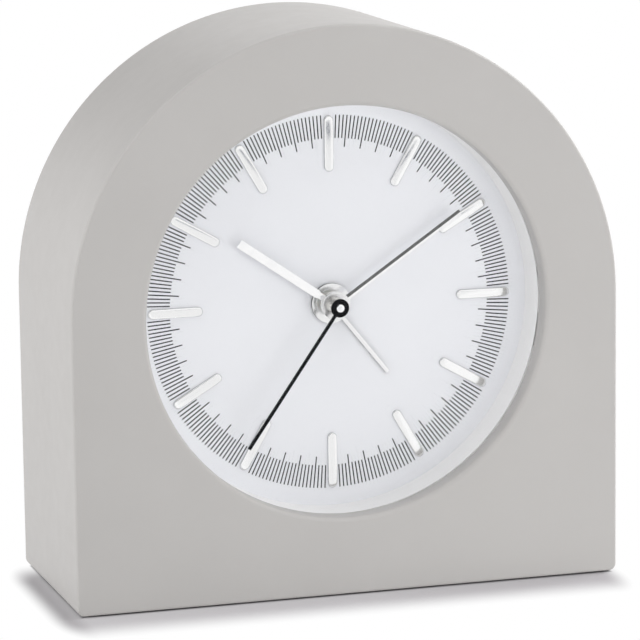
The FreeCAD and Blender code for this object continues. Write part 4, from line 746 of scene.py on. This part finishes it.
# Wheels and setting shafts: moulded in natural white acetal, a little waxy.
acetal = make_finish(
    "white_acetal", dark=(0.76, 0.755, 0.72), light=(0.81, 0.805, 0.775), patch=2.0,
    roughness=(0.3, 0.42), gloss_patch=0.7, grain=0.2, grain_height=0.003)
set_gloss(acetal, Subsurface_Weight=0.15, Subsurface_Scale=0.001)
finish_nodes(acetal, "second_wheel", "third_wheel", "fifth_wheel", "rotor", "centre_wheel",
             "minute_work_wheel", "hour_wheel", "alarm_wheel", "time_set_shaft", "alarm_set_shaft")

# Stepping motor: a sintered magnet on the rotor, a stamped soft-iron stator, and a moulded bobbin
# wound with fine enamelled copper.
magnet = make_finish(
    "sintered_magnet", dark=(0.045, 0.045, 0.048), light=(0.11, 0.11, 0.115), turn=(0.3, 0.7),
    patch=0.3, patch_detail=5.0, roughness=(0.45, 0.65), gloss_patch=0.3, grain=0.1,
    grain_height=0.008)
finish_nodes(magnet, "rotor_magnet")

iron_sheet = make_finish(
    "soft_iron", metallic=1.0, dark=(0.36, 0.355, 0.345), light=(0.50, 0.495, 0.48), patch=2.0,
    roughness=(0.34, 0.5), gloss_patch=0.5, grain=0.2, grain_detail=2.0,
    grain_stretch=(1.0, 6.0, 1.0), grain_height=0.004)
finish_nodes(iron_sheet, "stator")

bobbin_plastic = make_finish(
    "bobbin_plastic", dark=(0.74, 0.73, 0.68), light=(0.79, 0.78, 0.74), patch=2.0,
    roughness=(0.38, 0.5), gloss_patch=0.8, grain=0.25, grain_height=0.004)
finish_nodes(bobbin_plastic, "coil_bobbin")

wire_pitch = 0.16
copper_wire = make_finish(
    "enamelled_copper", metallic=1.0, dark=(0.36, 0.12, 0.045), light=(0.72, 0.30, 0.13),
    turn=(0.3, 0.7), patch=wire_pitch, patch_detail=1.0, patch_stretch=(1.0, 0.02, 0.02),
    roughness=(0.2, 0.34), gloss_patch=0.3, grain=wire_pitch, grain_detail=1.0,
    grain_stretch=(1.0, 0.02, 0.02), grain_height=0.03)
finish_nodes(copper_wire, "coil_winding")

# Electronics: a small green board with its chip under a drop of black resin, the quartz in a tin
# can, and the leaf spring that closes the alarm contact.
board_mask = make_finish(
    "board_mask", dark=(0.012, 0.085, 0.030), light=(0.022, 0.14, 0.05), turn=(0.42, 0.5),
    patch=1.6, patch_detail=2.0, patch_stretch=(1.0, 1.0, 4.0), roughness=(0.24, 0.4),
    gloss_patch=0.5, grain=1.6, grain_detail=2.0, grain_stretch=(1.0, 1.0, 4.0), grain_height=0.02)
finish_nodes(board_mask, "circuit_board")

chip_resin = make_finish(
    "chip_resin", dark=(0.010, 0.010, 0.010), light=(0.020, 0.019, 0.018), turn=(0.3, 0.7),
    patch=0.8, roughness=(0.28, 0.5), gloss_patch=0.5, grain=0.6, grain_detail=1.0,
    grain_height=0.02)
finish_nodes(chip_resin, "control_chip")

tin_can = make_finish(
    "tin_can", metallic=1.0, dark=(0.60, 0.60, 0.59), light=(0.74, 0.74, 0.73), patch=1.0,
    roughness=(0.18, 0.3), gloss_patch=0.4, grain=0.3, grain_detail=2.0,
    grain_stretch=(0.2, 1.0, 1.0), grain_height=0.002)
finish_nodes(tin_can, "quartz_crystal")

spring_strip = make_finish(
    "spring_strip", metallic=1.0, dark=(0.62, 0.60, 0.56), light=(0.76, 0.74, 0.70), patch=2.0,
    patch_stretch=(0.2, 1.0, 1.0), roughness=(0.22, 0.36), gloss_patch=0.5,
    gloss_patch_stretch=(0.2, 1.0, 1.0), grain=0.15, grain_detail=2.0,
    grain_stretch=(0.1, 1.0, 1.0), grain_height=0.002)
finish_nodes(spring_strip, "alarm_contact_spring", "battery_contact_plus", "battery_contact_minus")

# Buzzer and leads: a brass sounder disc behind the sound holes, and short red insulated leads that
# join it, the battery and the switch to the movement.
sounder_brass = make_finish(
    "sounder_brass", metallic=1.0, dark=(0.66, 0.49, 0.22), light=(0.78, 0.60, 0.30), patch=3.0,
    roughness=(0.28, 0.44), gloss_patch=0.7, grain=0.3, grain_height=0.003)
finish_nodes(sounder_brass, "buzzer")

lead_cover = make_finish(
    "lead_cover", dark=(0.36, 0.016, 0.014), light=(0.46, 0.024, 0.020), turn=(0.3, 0.7),
    patch=2.0, roughness=(0.4, 0.55), gloss_patch=0.6, grain=0.4, grain_height=0.004)
finish_nodes(lead_cover, "battery_leads", "buzzer_leads", "switch_leads")

# Battery: one round cell in a printed plastic sleeve, dark with a broad gold band at the nub end.
# It lies across the bay behind its door.
band_start = 0.0125
band_edge = 0.0002
sleeve_dark = (0.02, 0.021, 0.024)
band_gold = (0.62, 0.40, 0.12)
cell_sleeve = new_finish("cell_sleeve")
cell_along = graded(cell_sleeve.node_tree, object_axis(cell_sleeve.node_tree, "X"),
                    band_start - band_edge, band_start + band_edge)
colour_over(cell_sleeve, cell_along, [(0.0, sleeve_dark), (1.0, band_gold)])
add_surface(cell_sleeve, roughness=(0.2, 0.34), gloss_patch=1.5, grain=3.0, grain_detail=1.0,
            grain_height=0.01)
finish_nodes(cell_sleeve, "battery")

# Rear cover and battery door: black mouldings with a fine spark-eroded grain. The cover is screwed
# to the rebate, and the door hooks into its lower slots.
cover_plastic = make_finish(
    "cover_plastic", dark=(0.018, 0.018, 0.019), light=(0.027, 0.027, 0.028), turn=(0.3, 0.7),
    patch=12.0, patch_detail=4.0, roughness=(0.48, 0.64), gloss_patch=0.8, grain=0.35,
    grain_detail=4.0, grain_height=0.02)
finish_nodes(cover_plastic, "rear_cover", "battery_door")

knob_plastic = make_finish(
    "knob_plastic", dark=(0.014, 0.014, 0.015), light=(0.022, 0.022, 0.023), turn=(0.3, 0.7),
    patch=3.0, roughness=(0.3, 0.42), gloss_patch=0.8, grain=0.3, grain_height=0.005)
finish_nodes(knob_plastic, "time_knob", "alarm_knob")

switch_plastic = make_finish(
    "switch_plastic", dark=(0.42, 0.022, 0.018), light=(0.52, 0.034, 0.026), turn=(0.3, 0.7),
    patch=2.0, roughness=(0.3, 0.44), gloss_patch=0.6, grain=0.3, grain_height=0.005)
finish_nodes(switch_plastic, "alarm_switch_slider")

# Cover screws: four pan-head steel screws with a cross recess, through the cover into the case.
cover_rear = -38.0
head_radius = 2.8
head_height = 1.5
head_crown_steps = 5
head_crown_share = 0.75
first_screw_turn = 23.0
screw_turn_step = 31.0
shank_radius = 1.4
shank_end = -28.5
recess_width = 0.7
recess_length = 3.4
recess_depth = 0.8
cover_screw_places = [(-64.0, -64.7), (64.0, -64.7), (45.06, 55.0), (-45.06, 55.0)]

one_screw = bmesh.new()
head_line = [(0.0, shank_end), (shank_radius, shank_end), (shank_radius, cover_rear),
             (head_radius, cover_rear)]
for inset, drop in reversed(easing(1.0, head_crown_steps)):
    head_line.append((head_radius * (1.0 - inset * head_crown_share),
                      cover_rear - head_height * (1.0 - head_crown_share * drop)))
head_line.append((0.0, cover_rear - head_height))
turned(one_screw, head_line)
bmesh.ops.remove_doubles(one_screw, verts=one_screw.verts, dist=weld_distance)
bmesh.ops.recalc_face_normals(one_screw, faces=one_screw.faces)
screw_mesh = keep_mesh(one_screw, "one_screw")
cross = bmesh.new()
recess_middle = cover_rear - head_height
for length, width in ((recess_length, recess_width), (recess_width, recess_length)):
    bmesh.ops.create_cube(cross, size=1.0, matrix=Matrix.Translation((0.0, 0.0, recess_middle))
                          @ Matrix.Diagonal((length, width, recess_depth * 2.0, 1.0)))
cross_mesh = keep_mesh(cross, "cross")
plain_screw = add_object("plain_screw", screw_mesh)
cross_cutter = add_object("cross_cutter", cross_mesh)
cutting = plain_screw.modifiers.new("cross", "BOOLEAN")
cutting.operation = "DIFFERENCE"
cutting.solver = "EXACT"
cutting.use_self = True
cutting.object = cross_cutter
cut_screw = bpy.data.meshes.new_from_object(plain_screw.evaluated_get(bpy.context.evaluated_depsgraph_get()))
screws = bmesh.new()
for index, (x, y) in enumerate(cover_screw_places):
    fresh = add_copy(screws, cut_screw, math.radians(first_screw_turn + screw_turn_step * index))
    bmesh.ops.translate(screws, verts=fresh, vec=(x, y, 0.0))
bpy.data.objects.remove(plain_screw)
bpy.data.objects.remove(cross_cutter)
for spare in (screw_mesh, cross_mesh, cut_screw):
    bpy.data.meshes.remove(spare)
finish_piece("cover_screw_heads", screws, screw_steel, "clock", ["cover_screws"])

# Rear marks: small signs pad-printed on the cover in off-white. A clock face stands over the time
# knob, a bell over the alarm knob, and the bar and ring of on and off stand over and under the switch.
mark_thickness = 0.04
mark_line = 0.5
mark_height = 19.5
knob_across = 8.4
clock_sign_radius = 2.3
sign_steps = 40
long_pointer = 1.3
long_pointer_rise = 0.4
short_pointer = 0.75
short_pointer_aside = 0.65
bell_line = [(-2.4, -1.5), (2.4, -1.5), (2.4, -1.05), (1.75, -0.5), (1.6, 1.0), (1.1, 1.85), (0.4, 2.2),
             (-0.4, 2.2), (-1.1, 1.85), (-1.6, 1.0), (-1.75, -0.5), (-2.4, -1.05)]
bell_clapper = [(-0.55, -1.8), (-0.35, -2.2), (0.35, -2.2), (0.55, -1.8)]
switch_at = (34.0, 8.4)
switch_mark_off = 7.4
switch_ring_radius = 1.2
switch_bar_height = 2.4

print_white = make_finish(
    "marking_print", dark=(0.60, 0.60, 0.58), light=(0.70, 0.70, 0.68), turn=(0.3, 0.7), patch=0.8,
    roughness=(0.5, 0.65), gloss_patch=0.4, grain=0.15, grain_height=0.003)


def raise_print(bm, faces):
    """Gives printed shapes the thickness of the print."""
    raised = bmesh.ops.extrude_face_region(bm, geom=faces, use_keep_orig=True)
    top = [part for part in raised["geom"] if isinstance(part, bmesh.types.BMVert)]
    bmesh.ops.translate(bm, verts=top, vec=(0.0, 0.0, -mark_thickness))


def print_plate(bm, points, at):
    """A flat printed shape from its outline, on the cover's rear face."""
    corners = [bm.verts.new((at[0] + x, at[1] + y, cover_rear)) for x, y in points]
    outline = [bm.edges.new(pair) for pair in zip(corners, corners[1:] + corners[:1])]
    raise_print(bm, bmesh.ops.edgeloop_fill(bm, edges=outline)["faces"])


def print_bar(bm, width, height, at):
    print_plate(bm, [(-width / 2.0, -height / 2.0), (width / 2.0, -height / 2.0),
                     (width / 2.0, height / 2.0), (-width / 2.0, height / 2.0)], at)


def print_ring(bm, radius, at):
    """A printed ring of the marks' line width."""
    for ring_radius in (radius, radius - mark_line):
        bmesh.ops.create_circle(bm, cap_ends=False, segments=sign_steps, radius=ring_radius,
                                matrix=Matrix.Translation((at[0], at[1], cover_rear)))
    lines = [edge for edge in bm.edges if not edge.link_faces]
    raise_print(bm, bmesh.ops.bridge_loops(bm, edges=lines)["faces"])


marks = bmesh.new()
print_ring(marks, clock_sign_radius, (knob_across, mark_height))
print_bar(marks, mark_line, long_pointer, (knob_across, mark_height + long_pointer_rise))
print_bar(marks, short_pointer, mark_line, (knob_across - short_pointer_aside, mark_height))
print_plate(marks, bell_line, (-knob_across, mark_height))
print_plate(marks, bell_clapper, (-knob_across, mark_height))
print_bar(marks, mark_line, switch_bar_height, (switch_at[0], switch_at[1] + switch_mark_off))
print_ring(marks, switch_ring_radius, (switch_at[0], switch_at[1] - switch_mark_off))
finish_piece("rear_marks", marks, print_white, "clock")

# Table: a plain white surface, pure white further off. Next to the clock it shows a soft shadow that is
# partly real diffuse light on a darker tint
# and partly painted shadow: a glow lowered near the clock by a lift that changes along X, and a painted dark
# strip under the case.
# A pale patch and a dark patch are painted into its glow for glossy rays only, as painted reflections in the
# polished metal.
table_half = 1.6
table_white = (0.86, 0.86, 0.86)
shadow_tint = (0.31, 0.295, 0.31)
shadow_reach = (0.009, 0.024)
shadow_start = 0.22
shadow_end = 1.0
shadow_middle = (-0.0035, -0.0115)
shadow_half = (0.0765, 0.0215)
shadow_strip = (-0.09, 0.09)
shadow_lifts = [(0.03, 0.08), (0.067, 0.26), (0.5, 0.24), (0.95, 0.14)]
footprint_half = (0.0792, 0.0325)
under_depth = 0.001
# Painted reflections: a pale patch and a dark patch in the table's glow, seen by glossy rays only.
pale_patch_level = 0.88
pale_patch_slope = 0.375
pale_patch_start = 0.01
pale_patch_soft = 0.012
dark_patch_middle = (0.325, -1.22)
dark_patch_half = (0.11, 0.21)
dark_patch_fade = (0.5, 1.25)
painted_reflection_grey = (0.08, 0.10, 0.15)

table = bmesh.new()
bmesh.ops.create_grid(table, x_segments=2, y_segments=2, size=table_half)
table_mesh = keep_mesh(table, "table")
table_top = add_object("table", table_mesh)

table_cloth = bpy.data.materials.new("table_white")
table_cloth.use_nodes = True
nodes = table_cloth.node_tree.nodes
links = table_cloth.node_tree.links
nodes.clear()


def maths(kind, first, second=None):
    """A math node on two sockets or numbers, and its result."""
    node = nodes.new("ShaderNodeMath")
    node.operation = kind
    for slot, value in zip(node.inputs, (first, second)):
        if value is None:
            continue
        if isinstance(value, (int, float)):
            slot.default_value = value
        else:
            links.new(value, slot)
    return node.outputs["Value"]


mix_first = 6
mix_second = 7
mix_result = 2


def mixed_colour(share, first, second):
    """A colour that goes from the first to the second while a share goes from 0 to 1."""
    mix = nodes.new("ShaderNodeMix")
    mix.data_type = "RGBA"
    mix.inputs[mix_first].default_value = (*first, 1.0)
    mix.inputs[mix_second].default_value = (*second, 1.0)
    links.new(share, mix.inputs["Factor"])
    return mix.outputs[mix_result]


def length_of(across, along):
    """The length of a line from its two square parts."""
    return maths("SQRT", maths("ADD", maths("POWER", across, 2.0), maths("POWER", along, 2.0)))


table_place = nodes.new("ShaderNodeTexCoord")
table_axes = nodes.new("ShaderNodeSeparateXYZ")
links.new(table_place.outputs["Object"], table_axes.inputs["Vector"])
beyond = []
for axis, middle, half, reach in zip("XY", shadow_middle, shadow_half, shadow_reach):
    aside = maths("ABSOLUTE", maths("SUBTRACT", table_axes.outputs[axis], middle))
    beyond.append(maths("DIVIDE", maths("MAXIMUM", maths("SUBTRACT", aside, half), 0.0), reach))
near = graded(table_cloth.node_tree, length_of(*beyond), shadow_start, shadow_end, 1.0, 0.0, "SMOOTHSTEP")
# Painted shade under the case: the glow falls to dark within a small depth inside the footprint.
inside = [maths("SUBTRACT", half, maths("ABSOLUTE", table_axes.outputs[axis]))
          for axis, half in zip("XY", footprint_half)]
under = graded(table_cloth.node_tree, maths("MINIMUM", inside[0], inside[1]), 0.0, under_depth, 1.0, 0.0)
rays = nodes.new("ShaderNodeLightPath")
seen = maths("MAXIMUM", maths("MAXIMUM", rays.outputs["Is Camera Ray"], rays.outputs["Is Glossy Ray"]),
             rays.outputs["Is Transmission Ray"])
plain = nodes.new("ShaderNodeBsdfDiffuse")
plain.inputs["Color"].default_value = (*table_white, 1.0)
shaded = nodes.new("ShaderNodeBsdfDiffuse")
links.new(mixed_colour(near, (0.0, 0.0, 0.0), shadow_tint), shaded.inputs["Color"])
glow = nodes.new("ShaderNodeEmission")
# Painted shadow: near the clock the glow is lowered to a lift that changes along X.
along = graded(table_cloth.node_tree, table_axes.outputs["X"], *shadow_strip)
lift = colour_ramp(table_cloth.node_tree, along,
                   [(place, (level, level, level)) for place, level in shadow_lifts])
open_glow = maths("SUBTRACT", 1.0, maths("MULTIPLY", near, maths("SUBTRACT", 1.0, lift)))


def fade_up(value, start, end):
    """A soft step from 0 to 1."""
    return graded(table_cloth.node_tree, value, start, end, kind="SMOOTHSTEP")


# Painted reflections: the pale patch dims the glow and the dark patch greys it, for glossy rays only.
pale_patch_edge = maths("ADD", table_axes.outputs["X"], maths("MULTIPLY", table_axes.outputs["Y"], pale_patch_slope))
on_pale_patch = maths("MULTIPLY", maths("SUBTRACT", 1.0, fade_up(pale_patch_edge, -pale_patch_soft, pale_patch_soft)),
                fade_up(table_axes.outputs["X"], pale_patch_start - pale_patch_soft, pale_patch_start + pale_patch_soft))
mirrored_pale_patch = maths("MULTIPLY", on_pale_patch, rays.outputs["Is Glossy Ray"])
pale_patch_dim = maths("SUBTRACT", 1.0, maths("MULTIPLY", mirrored_pale_patch, 1.0 - pale_patch_level))
dark_patch_away = [maths("DIVIDE", maths("SUBTRACT", table_axes.outputs[axis], middle), half)
              for axis, middle, half in zip("XY", dark_patch_middle, dark_patch_half)]
on_dark_patch = maths("MULTIPLY", maths("SUBTRACT", 1.0, fade_up(length_of(*dark_patch_away), *dark_patch_fade)),
                 rays.outputs["Is Glossy Ray"])
links.new(mixed_colour(on_dark_patch, (1.0, 1.0, 1.0), painted_reflection_grey), glow.inputs["Color"])
links.new(maths("MULTIPLY", maths("MULTIPLY", open_glow, under), pale_patch_dim), glow.inputs["Strength"])
lit = nodes.new("ShaderNodeAddShader")
links.new(shaded.outputs["BSDF"], lit.inputs[0])
links.new(glow.outputs["Emission"], lit.inputs[1])
either = nodes.new("ShaderNodeMixShader")
links.new(seen, either.inputs["Fac"])
links.new(plain.outputs["BSDF"], either.inputs[1])
links.new(lit.outputs["Shader"], either.inputs[2])
table_out = nodes.new("ShaderNodeOutputMaterial")
links.new(either.outputs["Shader"], table_out.inputs["Surface"])
table_mesh.materials.append(table_cloth)

# Studio: soft white surroundings with a darker gap high in front, a close key light in front to the
# right at the height of the dial, a broad fill from the left and broad lights above.
room_level = 0.37
gap_patch = ((-0.16, 0.32), (0.20, 0.26), 0.04)
patch_softness = 0.3

world = bpy.data.worlds.new("studio")
world.use_nodes = True
scene.world = world
nodes = world.node_tree.nodes
links = world.node_tree.links
nodes.clear()
rays = nodes.new("ShaderNodeLightPath")
direction = nodes.new("ShaderNodeTexCoord")


def darker_patch(centre, reach, level):
    """A round patch of the mirrored room, by the way it lies in, and its brightness."""
    place = nodes.new("ShaderNodeMapping")
    place.inputs["Location"].default_value = (-centre[0] / reach[0], 0.0, -centre[1] / reach[1])
    place.inputs["Scale"].default_value = (1.0 / reach[0], 1.0, 1.0 / reach[1])
    links.new(direction.outputs["Generated"], place.inputs["Vector"])
    axes = nodes.new("ShaderNodeSeparateXYZ")
    links.new(place.outputs["Vector"], axes.inputs["Vector"])
    away = length_of(axes.outputs["X"], axes.outputs["Z"])
    return graded(world.node_tree, away, 1.0 - patch_softness, 1.0 + patch_softness, level, 1.0,
                  "SMOOTHSTEP")


room = nodes.new("ShaderNodeBackground")
room.inputs["Strength"].default_value = room_level
mirrored = nodes.new("ShaderNodeBackground")
links.new(darker_patch(*gap_patch), mirrored.inputs["Strength"])
seen_white = nodes.new("ShaderNodeBackground")
inner_mix = nodes.new("ShaderNodeMixShader")
links.new(rays.outputs["Is Glossy Ray"], inner_mix.inputs["Fac"])
links.new(room.outputs["Background"], inner_mix.inputs[1])
links.new(mirrored.outputs["Background"], inner_mix.inputs[2])
outer_mix = nodes.new("ShaderNodeMixShader")
links.new(maths("MAXIMUM", rays.outputs["Is Camera Ray"], rays.outputs["Is Transmission Ray"]),
          outer_mix.inputs["Fac"])
links.new(inner_mix.outputs["Shader"], outer_mix.inputs[1])
links.new(seen_white.outputs["Background"], outer_mix.inputs[2])
world_out = nodes.new("ShaderNodeOutputWorld")
links.new(outer_mix.outputs["Shader"], world_out.inputs["Surface"])
for background in (room, mirrored, seen_white):
    background.inputs["Color"].default_value = (1.0, 1.0, 1.0, 1.0)

middle_height = 0.08
clock_middle = Vector((0.0, 0.0, middle_height))


def add_lamp(name, towards, distance, size, power):
    """A square soft light that looks at the clock from a direction. Metal mirrors the room alone."""
    lamp = bpy.data.lights.new(name, "AREA")
    lamp.shape = "SQUARE"
    lamp.size = size
    lamp.energy = power
    holder = add_object(name, lamp)
    holder.visible_glossy = False
    holder.visible_transmission = False
    holder.location = clock_middle + Vector(towards).normalized() * distance
    holder.rotation_euler = Vector(towards).to_track_quat("Z", "Y").to_euler()


add_lamp("key_light", towards=(0.40, -0.91, 0.03), distance=0.45, size=0.22, power=0.34)
add_lamp("front_light", towards=(-0.20, -0.80, 0.56), distance=1.3, size=1.0, power=1.5)
add_lamp("low_front_light", towards=(-0.12, -0.98, 0.14), distance=1.3, size=0.4, power=1.35)
add_lamp("top_light", towards=(-0.25, -0.38, 0.88), distance=1.2, size=0.8, power=2.6)
add_lamp("left_light", towards=(-0.99, 0.12, 0.10), distance=1.2, size=0.9, power=10.3)
add_lamp("upper_right_light", towards=(0.80, 0.03, 0.60), distance=1.2, size=0.8, power=12.8)

# Camera: a long lens a metre away, a little to the left and above, as in the photograph.
camera_place = (-0.31987, -1.05628, 0.27645)
camera_yaw = 16.912
camera_pitch = 10.410
camera_roll = -0.714
camera_lens = 218.95
sensor_width = 36.0
nearest_seen = 0.05
farthest_seen = 20.0

camera = bpy.data.cameras.new("camera")
camera.lens = camera_lens
camera.sensor_width = sensor_width
camera.sensor_fit = "HORIZONTAL"
camera.clip_start = nearest_seen
camera.clip_end = farthest_seen
camera_holder = add_object("camera", camera)
camera_holder.matrix_world = (Matrix.Translation(camera_place)
                              @ Matrix.Rotation(math.radians(-camera_yaw), 4, "Z")
                              @ Matrix.Rotation(math.radians(90.0 - camera_pitch), 4, "X")
                              @ Matrix.Rotation(math.radians(camera_roll), 4, "Z"))
scene.camera = camera_holder
